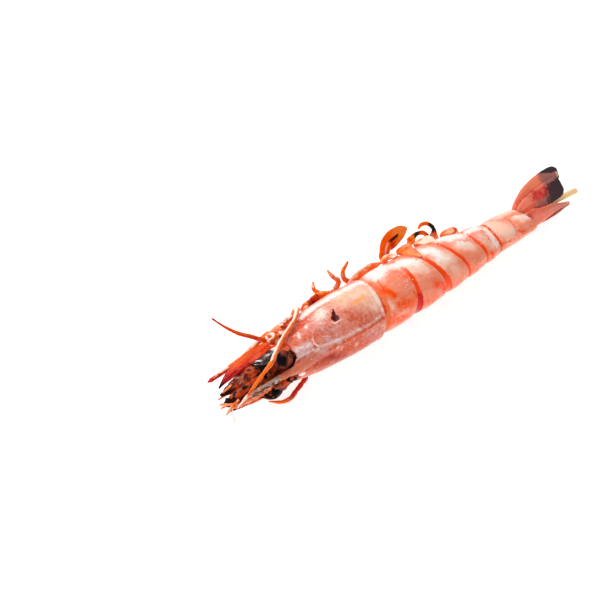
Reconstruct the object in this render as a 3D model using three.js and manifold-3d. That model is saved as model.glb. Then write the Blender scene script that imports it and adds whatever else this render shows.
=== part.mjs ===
// A whole tiger prawn, grilled in its shell, on a bamboo skewer.
//
// The skewer keeps the body straight. The prawn lies on its left side, rolled a little
// so that its back looks sideways and up. Millimetres, +Z up.
//
// Every place on the animal is given in body coordinates:
//   x      along the skewer, from the head (-) to the tail (+)
//   back   from the long axis towards the back, so a negative value is towards the belly
//   right  from the long axis towards the animal's right side, which is the upper one

import * as THREE from 'three';
import { mergeVertices } from 'three/addons/utils/BufferGeometryUtils.js';
import Module from 'manifold-3d';

const wasm = await Module();
wasm.setup();

// ---------------------------------------------------------------- driving dimensions

const GAP = 0.3;              // free space between two pieces that touch on the animal
const SIDES = 28;             // facets round the body
const SHELL = 0.9;            // thickness of the head shell
const RIM = 0.6;              // thickness of a tail plate at its rear edge
const CUP = 3.0;              // how far a plate reaches back over the neck of the next one
const NECK_PLAY = 0.9;        // free length between a neck and the bottom of its cup
const BULGE = 0.3;            // how far the middle of a plate stands out
const BELLY_HOLLOW = 3.2;     // depth of the channel between the side flaps of the tail
const SADDLE = 118;           // degrees from the back down to the lower edge of the head shell
const STERNUM = 11.8;         // from the long axis down to the flat floor between the legs

const SKEWER_RADIUS = 1.3;
const SKEWER_START = 62;
const SKEWER_TIP = 117.5;

const ROSTRUM_TIP = -92;
const ROSTRUM_TEETH = 7;

// ---------------------------------------------------------------- smooth tables

/** A smooth curve through [x, value] knots, level before the first and after the last. */
function smooth(knots) {
  const last = knots.length - 1;
  const slopes = knots.map((_, i) => {
    const a = knots[Math.max(i - 1, 0)];
    const b = knots[Math.min(i + 1, last)];
    return (b[1] - a[1]) / (b[0] - a[0]);
  });
  return (x) => {
    if (x <= knots[0][0]) return knots[0][1];
    if (x >= knots[last][0]) return knots[last][1];
    let i = 0;
    while (knots[i + 1][0] < x) i += 1;
    const h = knots[i + 1][0] - knots[i][0];
    const t = (x - knots[i][0]) / h;
    const rise = t * t * (3 - 2 * t);
    const leave = t * (1 - t) * (1 - t) * h * slopes[i];
    const arrive = t * t * (t - 1) * h * slopes[i + 1];
    return knots[i][1] + (knots[i + 1][1] - knots[i][1]) * rise + leave + arrive;
  };
}

const ramp = (x, from, to) => THREE.MathUtils.smoothstep(x, from, to);
const rad = THREE.MathUtils.degToRad;

// How the body lies: its roll about the long axis, and the height of that axis.
const rollOf = smooth([[-60, 20], [-28, 22.5], [0, 20], [30, 16], [60, 13]]);
const heightOf = smooth([[-60, 11.9], [-28, 11.25], [0, 11.0], [30, 10.2], [60, 8.3], [84, 7.4]]);

/** The point at body coordinates (x, back, right). */
function at(x, back, right) {
  const roll = rad(rollOf(x));
  const y = right * Math.sin(roll) - back * Math.cos(roll);
  const z = heightOf(x) + back * Math.sin(roll) + right * Math.cos(roll);
  return new THREE.Vector3(x, y, z);
}

// Half sizes of the body: from the axis to the back, to the belly and to each side.
const TAIL_FORM = {
  back: smooth([[-14, 12.3], [0, 12.7], [14, 12.6], [28, 12.0], [40, 11.1], [50, 10.1], [60, 9.1], [72, 8.5], [84, 8.3]]),
  belly: smooth([[-14, 13.2], [0, 13.5], [28, 12.3], [50, 10.4], [60, 9.2], [84, 8.0]]),
  side: smooth([[-14, 11.0], [0, 11.2], [14, 10.8], [28, 10.0], [40, 8.7], [50, 7.3], [60, 6.1], [72, 5.4], [84, 5.3]]),
};
const HEAD_FORM = {
  back: smooth([[-66, 11.0], [-50, 11.7], [-38, 12.3], [-25, 12.9], [-12, 13.1]]),
  belly: smooth([[-60, 11.0], [-50, 13.0], [-38, 14.6], [-25, 15.2], [-12, 15.0]]),
  side: smooth([[-64, 7.2], [-56, 8.8], [-48, 10.2], [-38, 11.3], [-25, 11.9], [-12, 11.8]]),
};
const CORE_FORM = {
  back: smooth([[-58, 7.0], [-50, 9.3], [-38, 10.9], [-25, 11.6], [-12, 11.8]]),
  belly: smooth([[-58, 7.0], [-50, 9.8], [-42, 12.6], [-25, 13.9], [-12, 13.7]]),
  side: smooth([[-58, 4.4], [-52, 4.8], [-46, 7.4], [-40, 9.7], [-25, 10.6], [-12, 10.5]]),
};

/** Values given at the left flank, the back, the right flank and low on the right side,
 *  as a smooth function of the angle from the back in degrees. */
function around([left, back, flank, low]) {
  const under = (left + low) / 2;
  return smooth([[-180, under], [-60, left], [0, back], [60, flank], [105, low], [180, under]]);
}

// ---------------------------------------------------------------- solids from rings

function geometryOf(points, triangles) {
  const geometry = new THREE.BufferGeometry();
  const positions = new Float32Array(points.flatMap((p) => [p.x, p.y, p.z]));
  geometry.setAttribute('position', new THREE.BufferAttribute(positions, 3));
  geometry.setIndex(triangles);
  return geometry;
}

/** Six times the volume inside the triangles: negative when they face inwards. */
function turning(points, triangles) {
  let sum = 0;
  for (let i = 0; i < triangles.length; i += 3) {
    const [a, b, c] = [0, 1, 2].map((k) => points[triangles[i + k]]);
    sum += a.dot(new THREE.Vector3().crossVectors(b, c));
  }
  return sum;
}

/** A closed solid through rings of equally many points, its ends closed by fans. */
function loft(rings) {
  const n = rings[0].length;
  const points = rings.flat();
  const triangles = [];
  for (let k = 0; k + 1 < rings.length; k += 1) {
    for (let i = 0; i < n; i += 1) {
      const a = k * n + i;
      const b = k * n + ((i + 1) % n);
      triangles.push(a, b, a + n, b, b + n, a + n);
    }
  }
  for (const [first, flip] of [[0, true], [(rings.length - 1) * n, false]]) {
    const ring = points.slice(first, first + n);
    const hub = ring.reduce((sum, p) => sum.add(p), new THREE.Vector3()).divideScalar(n);
    points.push(hub);
    const centre = points.length - 1;
    for (let i = 0; i < n; i += 1) {
      const a = first + i;
      const b = first + ((i + 1) % n);
      triangles.push(...(flip ? [b, a, centre] : [a, b, centre]));
    }
  }
  if (turning(points, triangles) < 0) triangles.reverse();
  return geometryOf(points, triangles);
}

/** Lets a point rest on the table instead of dipping under it. */
function rested(point, lowest = 0) {
  point.z = Math.max(point.z, lowest);
  return point;
}

function solidOf(geometry) {
  const bare = geometry.clone();
  bare.deleteAttribute('normal');
  bare.deleteAttribute('uv');
  const merged = mergeVertices(bare, 1e-4);
  return new wasm.Manifold(new wasm.Mesh({
    numProp: 3,
    vertProperties: new Float32Array(merged.attributes.position.array),
    triVerts: new Uint32Array(merged.index.array),
  }));
}

function geometryFrom(solid) {
  const mesh = solid.getMesh();
  const geometry = new THREE.BufferGeometry();
  geometry.setAttribute('position', new THREE.BufferAttribute(new Float32Array(mesh.vertProperties), 3));
  geometry.setIndex(Array.from(mesh.triVerts));
  return geometry;
}

// ---------------------------------------------------------------- tail plates

const ANGLES = Array.from({ length: SIDES }, (_, i) => -180 + (360 * i) / SIDES);

/** A point on the tail at an angle from the back, sunk in by `inset`. */
function tailPoint(x, degrees, inset, hollow, flap) {
  const turn = rad(degrees);
  const up = Math.cos(turn);
  const down = up < 0;
  const depth = (down ? TAIL_FORM.belly(x) - flap : TAIL_FORM.back(x)) - inset;
  let back = depth * up;
  if (down) back = -depth * Math.abs(up) ** 0.85;
  const widen = 6 * Math.max(inset, 0);
  back += hollow * ramp(Math.abs(degrees), 142 - widen, 156 - widen);
  const right = (TAIL_FORM.side(x) - inset) * Math.sin(turn);
  return at(x, back, right);
}

const HEAD_REAR = around([-14.5, -14.2, -11.5, -10]);

// Where each plate ends at the rear, and how much bare neck shows in front of it:
// at the left flank, on the back, at the right flank and low on the right.
const PLATES = [
  { rear: [2.2, 4.1, 6.0, 8.4], neck: [3.0, 3.2, 4.5, 5.0], hollow: BELLY_HOLLOW },
  { rear: [21.3, 20.3, 17.4, 17.8], neck: [4.4, 2.2, 1.6, 1.4], hollow: BELLY_HOLLOW },
  { rear: [35.6, 34.6, 30.6, 31.0], neck: [4.2, 2.6, 2.0, 1.8], hollow: BELLY_HOLLOW },
  { rear: [47.2, 47.0, 45.8, 47.4], neck: [1.7, 1.5, 1.8, 1.6], hollow: BELLY_HOLLOW },
  { rear: [57.5, 56.8, 57.4, 59.8], neck: [1.6, 1.6, 2.0, 2.0], hollow: BELLY_HOLLOW * 0.8 },
  { rear: [81.4, 80.6, 78.8, 79.0], neck: [1.2, 1.2, 1.3, 1.3], hollow: 0 },
];

/** A skewer ring: the section of a round stick at x. */
const skewerBack = smooth([[SKEWER_START, -2.4], [SKEWER_TIP, -0.6]]);
const skewerRight = smooth([[SKEWER_START, 0.5], [99, -1.0], [SKEWER_TIP, -2.4]]);

function skewerRing(x, radius, sides) {
  return Array.from({ length: sides }, (_, i) => {
    const turn = rad(-180 + (360 * i) / sides);
    return at(x, skewerBack(x) + radius * Math.cos(turn), skewerRight(x) + radius * Math.sin(turn));
  });
}

/** One ring-shaped plate of the tail, with its narrow neck in front and a cup behind. */
function tailPlate(index) {
  const plate = PLATES[index];
  const front = index ? around(PLATES[index - 1].rear) : HEAD_REAR;
  const neck = around(plate.neck);
  const rear = around(plate.rear);
  const sunk = index ? RIM + GAP : RIM + GAP + 0.6;
  const keel = index < 3 ? 0 : 0.45;
  const hollowBefore = index ? PLATES[index - 1].hollow : plate.hollow;

  // Each row: place along the plate, and how deep it lies under the plate's own surface.
  const rows = [
    [(a) => front(a) - CUP + NECK_PLAY, sunk + 0.5],
    [(a) => front(a) - CUP + NECK_PLAY + 0.6, sunk],
    [(a) => front(a), sunk],
    [(a) => front(a) + neck(a) * 0.9, sunk * 0.7],
    [(a) => front(a) + neck(a) + 1.1, 0.08],
    [(a) => (front(a) + neck(a) + rear(a)) / 2, -BULGE],
    [(a) => rear(a) - 1.5, 0],
    [(a) => rear(a) - 0.2, 0.05],
    [(a) => rear(a), 0.35],
    [(a) => rear(a) - 0.15, RIM],
    [(a) => rear(a) - CUP, RIM],
  ];
  const rings = rows.map(([place, inset], row) => ANGLES.map((degrees) => {
    const x = place(degrees);
    const start = front(degrees) + neck(degrees);
    const along = THREE.MathUtils.clamp((x - start) / (rear(degrees) - start), 0, 1);
    const flap = 1.3 * Math.abs(2 * along - 1) ** 3;
    const ridge = keel * Math.exp(-((degrees / 10) ** 2)) * ramp(along, 0, 0.2);
    const hollow = row < 3 ? hollowBefore : plate.hollow;
    return rested(tailPoint(x, degrees, inset - ridge, hollow, flap), Math.max(inset, 0));
  }));
  if (index === PLATES.length - 1) {
    rings.push(skewerRing(plate.rear[2] - CUP, SKEWER_RADIUS + GAP, SIDES));
    rings.push(skewerRing(SKEWER_START, SKEWER_RADIUS + GAP, SIDES));
  }
  return loft(rings);
}

// ---------------------------------------------------------------- head shell and rostrum

const HEAD_ROWS = 22;
const HEAD_COLUMNS = 30;

/** The front edge of the head shell, which leaves the eyes and feelers free. */
const headFront = smooth([
  [-118, -43], [-95, -50], [-75, -56], [-50, -58.8], [-28, -60.2], [-12, -62.5], [0, -64],
  [12, -61], [28, -57.9], [50, -57.6], [75, -56], [95, -50], [118, -43],
]);

/** A point on the head shell: x, the angle from the back, and how far under its surface. */
function headPoint(x, degrees, inset) {
  const turn = rad(degrees);
  const depth = (Math.cos(turn) < 0 ? HEAD_FORM.belly(x) : HEAD_FORM.back(x)) - inset;
  const ridge = 0.7 * Math.exp(-((degrees / 7) ** 2)) * ramp(-x, 18, 40);
  const groove = -0.35 * Math.exp(-(((Math.abs(degrees) - 15) / 6) ** 2)) * ramp(-x, 24, 44);
  const hem = 0.35 * ramp(Math.abs(degrees), SADDLE - 9, SADDLE - 2);
  const swell = inset > 0 ? 0 : ridge + groove + hem;
  const back = (depth + swell) * Math.cos(turn);
  const right = (HEAD_FORM.side(x) - inset + swell) * Math.sin(turn);
  return rested(at(x, back, right), Math.max(inset, 0));
}

/** The saddle-shaped shell: an outer and an inner sheet joined round their edges. */
function headShell() {
  const points = [];
  const triangles = [];
  const count = (HEAD_ROWS + 1) * (HEAD_COLUMNS + 1);
  for (const inset of [0, SHELL]) {
    for (let i = 0; i <= HEAD_ROWS; i += 1) {
      for (let j = 0; j <= HEAD_COLUMNS; j += 1) {
        const degrees = SADDLE * (-1 + (2 * j) / HEAD_COLUMNS);
        const from = headFront(degrees) + inset * 0.3;
        const x = from + ((HEAD_REAR(degrees) - inset * 0.2 - from) * i) / HEAD_ROWS;
        points.push(headPoint(x, degrees * (1 - inset * 0.003), inset));
      }
    }
  }
  const outer = (i, j) => i * (HEAD_COLUMNS + 1) + j;
  const inner = (i, j) => count + outer(i, j);
  const quad = (a, b, c, d) => triangles.push(a, b, c, a, c, d);
  for (let i = 0; i < HEAD_ROWS; i += 1) {
    for (let j = 0; j < HEAD_COLUMNS; j += 1) {
      quad(outer(i, j), outer(i, j + 1), outer(i + 1, j + 1), outer(i + 1, j));
      quad(inner(i, j), inner(i + 1, j), inner(i + 1, j + 1), inner(i, j + 1));
    }
    quad(outer(i, 0), outer(i + 1, 0), inner(i + 1, 0), inner(i, 0));
    quad(outer(i + 1, HEAD_COLUMNS), outer(i, HEAD_COLUMNS), inner(i, HEAD_COLUMNS), inner(i + 1, HEAD_COLUMNS));
  }
  for (let j = 0; j < HEAD_COLUMNS; j += 1) {
    quad(outer(0, j + 1), outer(0, j), inner(0, j), inner(0, j + 1));
    quad(outer(HEAD_ROWS, j), outer(HEAD_ROWS, j + 1), inner(HEAD_ROWS, j + 1), inner(HEAD_ROWS, j));
  }
  if (turning(points, triangles) < 0) triangles.reverse();
  return geometryOf(points, triangles);
}

const rostrumTop = smooth([[-50, 12.2], [-62, 12.2], [-72, 11.4], [-82, 10.4], [ROSTRUM_TIP, 12.9]].reverse());
const rostrumUnder = smooth([[-50, 11.5], [-60, 10.8], [-65, 9.3], [-74, 8.4], [-84, 8.4], [ROSTRUM_TIP, 12.4]].reverse());
const rostrumHalf = smooth([[-50, 1.6], [-58, 2.1], [-65, 1.4], [-72, 0.9], [-82, 0.6], [ROSTRUM_TIP, 0.12]].reverse());

/** The toothed blade between the eyes. */
function rostrum() {
  const from = -50;
  const teethFrom = -56;
  const teethTo = -84;
  const pitch = (teethTo - teethFrom) / ROSTRUM_TEETH;
  const places = [from];
  for (let k = 0; k < ROSTRUM_TEETH; k += 1) {
    places.push(teethFrom + pitch * k, teethFrom + pitch * (k + 0.72), teethFrom + pitch * (k + 0.95));
  }
  places.push(-86, -89, ROSTRUM_TIP);
  return loft(places.map((x) => {
    const along = (x - teethFrom) / pitch;
    const inTeeth = along >= 0 && along < ROSTRUM_TEETH;
    const tooth = inTeeth ? 0.75 * ramp(along - Math.floor(along), 0.1, 0.72) * (along % 1 < 0.9 ? 1 : 0) : 0;
    const top = rostrumTop(x) + tooth;
    const under = rostrumUnder(x);
    const middle = THREE.MathUtils.lerp(under, top, 0.4);
    const half = rostrumHalf(x);
    return [
      at(x, top, 0), at(x, middle, half), at(x, THREE.MathUtils.lerp(under, middle, 0.4), half * 0.8),
      at(x, under, 0), at(x, THREE.MathUtils.lerp(under, middle, 0.4), -half * 0.8), at(x, middle, -half),
    ];
  }));
}

function carapace() {
  return geometryFrom(solidOf(headShell()).add(solidOf(rostrum())));
}

/** The body under the head shell, with the floor between the legs and the mouth in front. */
function thorax() {
  const front = -58;
  const rows = 12;
  const rings = [];
  for (let i = 0; i <= rows; i += 1) {
    rings.push(ANGLES.map((degrees) => {
      const turn = rad(degrees);
      const end = HEAD_REAR(degrees) - CUP - GAP;
      const x = front + ((end - front) * i) / rows;
      const edge = i === 0 ? 0.85 : 1;
      const depth = Math.cos(turn) < 0 ? CORE_FORM.belly(x) : CORE_FORM.back(x);
      const back = Math.max(depth * edge * Math.cos(turn), -STERNUM);
      return rested(at(x, back, CORE_FORM.side(x) * edge * Math.sin(turn)), SHELL + GAP);
    }));
  }
  return loft(rings);
}

// ---------------------------------------------------------------- limbs and blades

/** A limb along a smooth path. Each station: a point, a half width and a half thickness;
 *  `wide` is the direction in which the width is measured. */
function limb(stations, wide, sides = 6, steps = 10) {
  const curve = new THREE.CatmullRomCurve3(stations.map((s) => s[0]), false, 'centripetal');
  const last = stations.length - 1;
  const halfWidth = smooth(stations.map((s, i) => [i / last, s[1]]));
  const halfThickness = smooth(stations.map((s, i) => [i / last, s[2] ?? s[1]]));
  const rings = [];
  for (let k = 0; k <= steps; k += 1) {
    const t = k / steps;
    const centre = curve.getPoint(t);
    const ahead = curve.getTangent(t);
    const across = wide.clone().addScaledVector(ahead, -wide.dot(ahead)).normalize();
    const upward = new THREE.Vector3().crossVectors(ahead, across);
    rings.push(Array.from({ length: sides }, (_, i) => {
      const turn = (2 * Math.PI * (i + 0.5)) / sides;
      return centre.clone()
        .addScaledVector(across, halfWidth(t) * Math.cos(turn))
        .addScaledVector(upward, halfThickness(t) * Math.sin(turn));
    }));
  }
  return loft(rings);
}

/** A direction in body coordinates near x. */
function along(x, dx, back, right) {
  return at(x, back, right).sub(at(x, 0, 0)).add(new THREE.Vector3(dx, 0, 0)).normalize();
}

function body(rows) {
  return rows.map(([x, back, right, half, thick]) => [at(x, back, right), half, thick]);
}

function table(rows) {
  return rows.map(([x, y, z, half, thick]) => [new THREE.Vector3(x, y, z), half, thick]);
}

// Each limb: its stations [x, back, right, half width, half thickness] and its wide direction.
const LIMBS = {
  eye_right: {
    rows: [[-58.6, 5.6, 3.2, 1.5], [-60.4, 6.9, 3.9, 2.2], [-62.6, 8.0, 4.6, 3.4], [-64.9, 8.5, 4.8, 3.5],
      [-67.2, 8.7, 4.8, 2.4], [-68.2, 8.7, 4.8, 0.5]],
    wide: [-63, 0, 1, 0], sides: 12, steps: 12, finish: 'eye',
  },
  eye_left: {
    rows: [[-58.4, 4.4, -4.0, 2.0], [-62.5, 5.4, -4.7, 2.2], [-66.6, 6.4, -5.0, 2.3], [-70.2, 7.1, -5.2, 3.0],
      [-73.2, 7.1, -5.0, 2.2], [-76.0, 6.7, -4.2, 0.9], [-79.2, 6.4, -3.5, 0.3]],
    wide: [-70, 0, 1, 0], sides: 12, steps: 12, finish: 'eye',
  },
  scale_right: {
    rows: [[-61.4, -1.2, 8.4, 1.9, 0.6], [-66, -1.0, 8.4, 2.9, 0.6], [-74, -0.4, 8.0, 2.9, 0.5],
      [-83, 1.0, 7.1, 2.0, 0.45], [-90.4, 2.8, 5.9, 0.3, 0.25]],
    wide: [-74, -0.2, 0.93, -0.3], sides: 8, steps: 10, finish: 'antenna',
  },
  scale_left: {
    rows: [[-60.2, -0.5, -8.2, 2.0, 0.7], [-66, 0.6, -8.0, 2.9, 0.6], [-74, 1.6, -7.3, 2.8, 0.5],
      [-82, 1.8, -6.0, 1.9, 0.45], [-88, 2.2, -5.0, 0.3, 0.25]],
    wide: [-74, -0.1, 0.95, 0.3], sides: 8, steps: 10, finish: 'antenna',
  },
  antenna_right: {
    rows: [[-51.6, -4.2, 7.9, 2.2], [-55.5, -3.6, 8.0, 2.6], [-59.2, -4.4, 8.8, 1.6], [-61.8, -4.2, 10.4, 0.9],
      [-64.8, -3.8, 12.9, 0.85], [-71.1, -3.2, 17.7, 0.75], [-76.4, -3.0, 23.0, 0.5], [-81, -3, 28.9, 0.25]],
    wide: [-60, 0, 1, 0], sides: 7, steps: 14, finish: 'antenna',
  },
  antenna_left: {
    rows: [[-51.6, -3.2, -6.9, 1.8], [-55.5, -2.6, -7.0, 1.9], [-58.8, -3.4, -7.0, 1.4], [-62, -5.2, -6.8, 0.85],
      [-68, -5.4, -6.4, 0.75], [-76, -4.2, -6.8, 0.6], [-84, -3.4, -8.0, 0.35]],
    wide: [-60, 0, 1, 0], sides: 7, steps: 12, finish: 'antenna',
  },
  antennule_right: {
    rows: [[-58.4, 1.4, 2.4, 1.9, 1.6], [-64, 1.8, 2.8, 2.3, 1.7], [-70, 2.8, 3.7, 2.5, 1.9], [-76, 3.6, 4.4, 2.6, 2.1],
      [-82, 3.9, 4.1, 2.2, 1.9], [-87.5, 3.8, 3.6, 1.3, 1.2], [-91, 3.6, 3.2, 0.35, 0.35]],
    wide: [-74, 0, 1, 0], sides: 8, steps: 12, finish: 'char',
  },
  antennule_left: {
    rows: [[-58.4, 1.2, -1.9, 1.8, 1.7], [-64, 1.8, -1.6, 2.2, 1.9], [-71, 3.5, -1.0, 2.3, 2.1], [-78, 4.7, -0.6, 2.4, 2.2],
      [-85, 5.4, -0.4, 2.1, 2.1], [-90, 5.8, 0.2, 1.6, 1.6], [-92, 5.9, 0.4, 0.6, 0.6]],
    wide: [-74, 0, 1, 0], sides: 8, steps: 12, finish: 'char',
  },
  feeler_base: {
    rows: [[-60.2, 1.2, 5.6, 0.9, 0.45], [-62.6, 1.8, 5.9, 2.2, 0.45], [-67, 2.7, 6.1, 2.6, 0.45],
      [-70.6, 3.6, 6.3, 2.0, 0.35], [-73.0, 4.1, 6.4, 0.8, 0.3]],
    wide: [-68, -0.1, 0.9, -0.2], sides: 8, steps: 8, finish: 'membrane',
  },
};

// Legs by their root: side, place along the floor between the legs, then the stations.
const ROOT_RIGHT = 3.4;
const ROOT_HALF = 1.3;

const HIGH_LEGS = {
  jaw_leg_right: [-45.5, [[-51, -11.8, 6.6, 1.3], [-60, -9.4, 7.2, 1.1], [-68, -7.2, 6.6, 1.0],
    [-78, -6.2, 6.1, 0.8], [-88, -6.0, 5.6, 0.4]]],
  leg_right_1: [-40, [[-43, -13.2, 5.4, 1.3], [-47, -10.9, 7.4, 1.4], [-52, -9.0, 8.0, 1.2], [-58, -7.6, 7.8, 0.6]]],
  leg_right_2: [-34, [[-35.6, -15.2, 6.4, 1.2], [-35.6, -13.4, 9.4, 1.1], [-37.4, -9.8, 11.3, 1.05],
    [-40.8, -5.4, 12.0, 1.0], [-47.4, -0.3, 11.7, 0.95], [-57.4, 3.8, 10.3, 0.9], [-66.2, 8.2, 9.3, 0.95],
    [-70.4, 10.3, 8.5, 0.95], [-76.2, 11.6, 7.0, 0.75], [-85.5, 12.7, 3.4, 0.6], [-92.5, 14.4, 1.4, 0.25]]],
  leg_right_3: [-28, [[-30.2, -14.8, 6.0, 1.2], [-31.4, -12.8, 8.7, 1.2], [-28.6, -11.6, 10.0, 1.5],
    [-23.2, -11.4, 10.2, 1.6], [-18.4, -11.6, 9.2, 0.7]]],
  leg_right_4: [-21.6, [[-20.6, -15.6, 6.4, 1.2], [-21, -15.0, 9.6, 1.1], [-22.6, -15.2, 12.0, 0.9],
    [-21.3, -16.2, 14.6, 0.5]]],
  leg_right_5: [-15.4, [[-12, -15.9, 6.4, 1.2], [-9.6, -15.7, 9.4, 1.1], [-11, -16.4, 11.6, 1.0], [-11.7, -18, 14.8, 0.5]]],
};

// The left legs lie folded on the table beside the belly: [x, y, z, half] in the part's frame.
const LOW_LEGS = {
  jaw_leg_left: [-45.5, [[-51, 10.4, 5.0, 1.2], [-60, 8.6, 6.4, 1.0], [-70, 6.4, 7.0, 0.9], [-80, 4.6, 7.4, 0.6],
    [-87, 3.8, 8.0, 0.3]]],
  leg_left_1: [-40, [[-43.4, 14.8, 2.0, 1.1], [-48.6, 10.4, 1.2, 0.9], [-52.8, 4.4, 0.85, 0.75], [-53.2, -1.4, 0.9, 0.75],
    [-53.6, -5.4, 1.5, 0.85], [-57.6, -7.0, 1.4, 0.95], [-61.9, -7.9, 1.0, 0.9], [-66, -6.9, 1.2, 0.7], [-69.7, -5.2, 2.2, 0.3]]],
  leg_left_2: [-34, [[-36.6, 15.2, 2.2, 1.1], [-43, 18.4, 1.4, 1.0], [-52, 17.6, 1.2, 0.8], [-60, 14.6, 1.2, 0.4]]],
  leg_left_3: [-28, [[-29.6, 15.6, 2.2, 1.1], [-36, 20.8, 1.4, 1.0], [-45, 22.0, 1.2, 0.8], [-54, 20.6, 1.1, 0.4]]],
  leg_left_4: [-21.6, [[-21, 15.6, 2.2, 1.1], [-25, 21.2, 1.4, 1.0], [-32, 24.6, 1.2, 0.8], [-41, 25.0, 1.0, 0.4]]],
  leg_left_5: [-15.4, [[-12.6, 15.6, 2.2, 1.1], [-12.4, 21.2, 1.4, 1.0], [-16, 26.0, 1.2, 0.8], [-24, 28.0, 1.0, 0.4]]],
};

/** The first two stations of a leg: straight down out of the floor between the legs. */
function legRoot(x, right) {
  return [0.35, 1.8].map((out) => [at(x, -STERNUM - out, right), ROOT_HALF]);
}

// The right swimmerets stand up, curled and singed: their stations after the root.
const SWIMMERET_SIDE = 2.4;
const SWIMMERET_HALF = 1.3;
const HIGH_SWIMMERETS = [
  { x: -3, wide: [0, 1, 0, 0], rows: [[-4.6, -15.6, 6.2, 1.2, 1.0], [-6.8, -15.4, 9.1, 1.0, 0.8],
    [-6.2, -16.0, 11.4, 0.9, 0.7], [-1.5, -17.2, 13.6, 0.4, 0.3]] },
  { x: 13, wide: [20, -0.55, 0.2, 0.8], rows: [[14.6, -15.2, 6.2, 1.8, 1.1], [16.0, -14.4, 9.6, 2.4, 0.9],
    [18.6, -14.4, 12.4, 3.8, 0.6], [22.6, -14.4, 13.6, 4.3, 0.5], [27.2, -14.3, 14.2, 3.2, 0.45],
    [30.6, -14.2, 14.8, 0.6, 0.35]] },
  { x: 26.5, wide: [30, 0.7, 0, 0.7], rows: [[27.6, -14.2, 5.8, 3.2, 1.1], [29.4, -13.8, 8.6, 2.0, 0.9],
    [32.6, -13.5, 10.4, 0.9, 0.8], [36.2, -13.3, 9.8, 0.9, 0.7], [38.2, -13.1, 7.8, 0.8, 0.6],
    [38.8, -13.2, 6.0, 0.4, 0.4]] },
  { x: 40, wide: [40, 0.7, 0, 0.7], rows: [[41.4, -12.8, 5.2, 2.4, 0.9], [42.4, -13.0, 9.0, 0.9, 0.7],
    [40.4, -13.8, 12.0, 0.8, 0.7], [36.8, -13.9, 13.0, 0.8, 0.6], [34.6, -13.6, 12.2, 0.4, 0.4]] },
  { x: 51.6, wide: [50, 0.7, 0, 0.7], rows: [[52.0, -11.2, 3.6, 2.0, 0.8], [50.6, -11.4, 5.2, 1.4, 0.6],
    [46.6, -11.4, 5.8, 0.5, 0.3]] },
];

/** How much smaller the swimmerets get towards the tail. */
const swimmeretShrink = (index) => 1 - index * 0.09;

/** The first two stations of a swimmeret: straight out of the channel along the belly. */
function swimmeretRoot(index, side) {
  const { x } = HIGH_SWIMMERETS[index];
  const floor = -(TAIL_FORM.belly(x) - PLATES[index].hollow);
  const half = SWIMMERET_HALF * swimmeretShrink(index);
  return [0.6, 2.3].map((out) => [x, floor - out, side * swimmeretShrink(index), half, half * 0.8]);
}

/** A left swimmeret, folded back along the belly just above the table. */
function lowSwimmeret(index) {
  const [root, knee] = swimmeretRoot(index, -SWIMMERET_SIDE);
  const [x, back, right] = knee;
  const shrink = swimmeretShrink(index);
  return {
    wide: [x, 0, 1, 0],
    rows: [root, knee, [x + 4, back - 2.2, right * 1.4, 1.6 * shrink, 0.7],
      [x + 8, back - 2.8, right * 1.5, 1.4 * shrink, 0.5], [x + 11.5, back - 2.8, right * 1.5, 0.4, 0.3]],
  };
}

// The tail fan. The right lobe is spread and raised, the left one is folded beside the telson.
const FAN = {
  telson: {
    rows: [[79.1, 4.3, 0.3, 2.9, 1.0], [83, 4.0, 1.2, 3.7, 1.4], [89, 3.4, 1.0, 3.1, 1.3], [95.5, 2.8, 0.3, 2.3, 1.0],
      [102, 2.4, -1.3, 1.2, 0.7], [107.6, 2.2, -2.9, 0.25, 0.2]],
    wide: [90, 0, 0, 1], finish: 'fan',
  },
  uropod_right_inner: {
    rows: [[79.3, -0.4, 3.0, 0.9, 0.6], [83, -0.4, 4.4, 2.1, 0.6], [89, -0.4, 5.0, 3.2, 0.5], [96, -0.6, 4.6, 4.0, 0.4],
      [103, -0.6, 4.6, 4.3, 0.4], [106.4, -0.6, 4.8, 4.0, 0.35], [108.2, -0.6, 5.0, 2.6, 0.3]],
    wide: [95, 0, -0.42, 0.9], finish: 'charred_fan',
  },
  uropod_right_outer: {
    rows: [[79.3, -3.0, 2.4, 1.1, 0.6], [83.5, -3.6, 5.2, 1.9, 0.7], [90, -4.0, 7.6, 2.7, 0.55], [97, -4.0, 8.8, 3.1, 0.45],
      [103, -3.7, 9.2, 3.3, 0.4], [107.6, -3.3, 9.2, 3.1, 0.35], [109.6, -3.1, 9.0, 1.9, 0.3]],
    wide: [95, 0, -0.42, 0.9], finish: 'charred_fan',
  },
  uropod_left_inner: {
    rows: [[79.3, 0.6, -2.9, 1.1, 0.5], [82, 0.8, -3.1, 1.2, 0.5], [85, 0.9, -3.5, 1.9, 0.4], [90, 0.6, -3.8, 3.0, 0.4],
      [97, 0.5, -3.9, 3.2, 0.35], [103, 0.6, -3.9, 2.3, 0.3], [105.6, 0.8, -4.0, 0.6, 0.25]],
    wide: [95, 0, 1, 0], finish: 'fan',
  },
  uropod_left_outer: {
    rows: [[79.3, -2.2, -2.3, 1.1, 0.5], [82, -2.6, -3.3, 1.0, 0.4], [84.5, -1.9, -4.7, 1.8, 0.4], [90, -0.2, -5.1, 3.2, 0.4],
      [98, 0.4, -5.2, 3.4, 0.4], [105, 1.0, -5.1, 2.3, 0.35], [110, 1.8, -5.0, 0.5, 0.3]],
    wide: [95, 0, 1, 0], finish: 'fan',
  },
};

function skewer() {
  const tip = SKEWER_TIP;
  const stops = [[SKEWER_START + GAP, 1], [84, 1], [tip - 1.0, 1], [tip - 0.3, 0.8], [tip, 0.4]];
  return loft(stops.map(([x, share]) => skewerRing(x, SKEWER_RADIUS * share, 12)));
}

// ---------------------------------------------------------------- finishes

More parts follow.
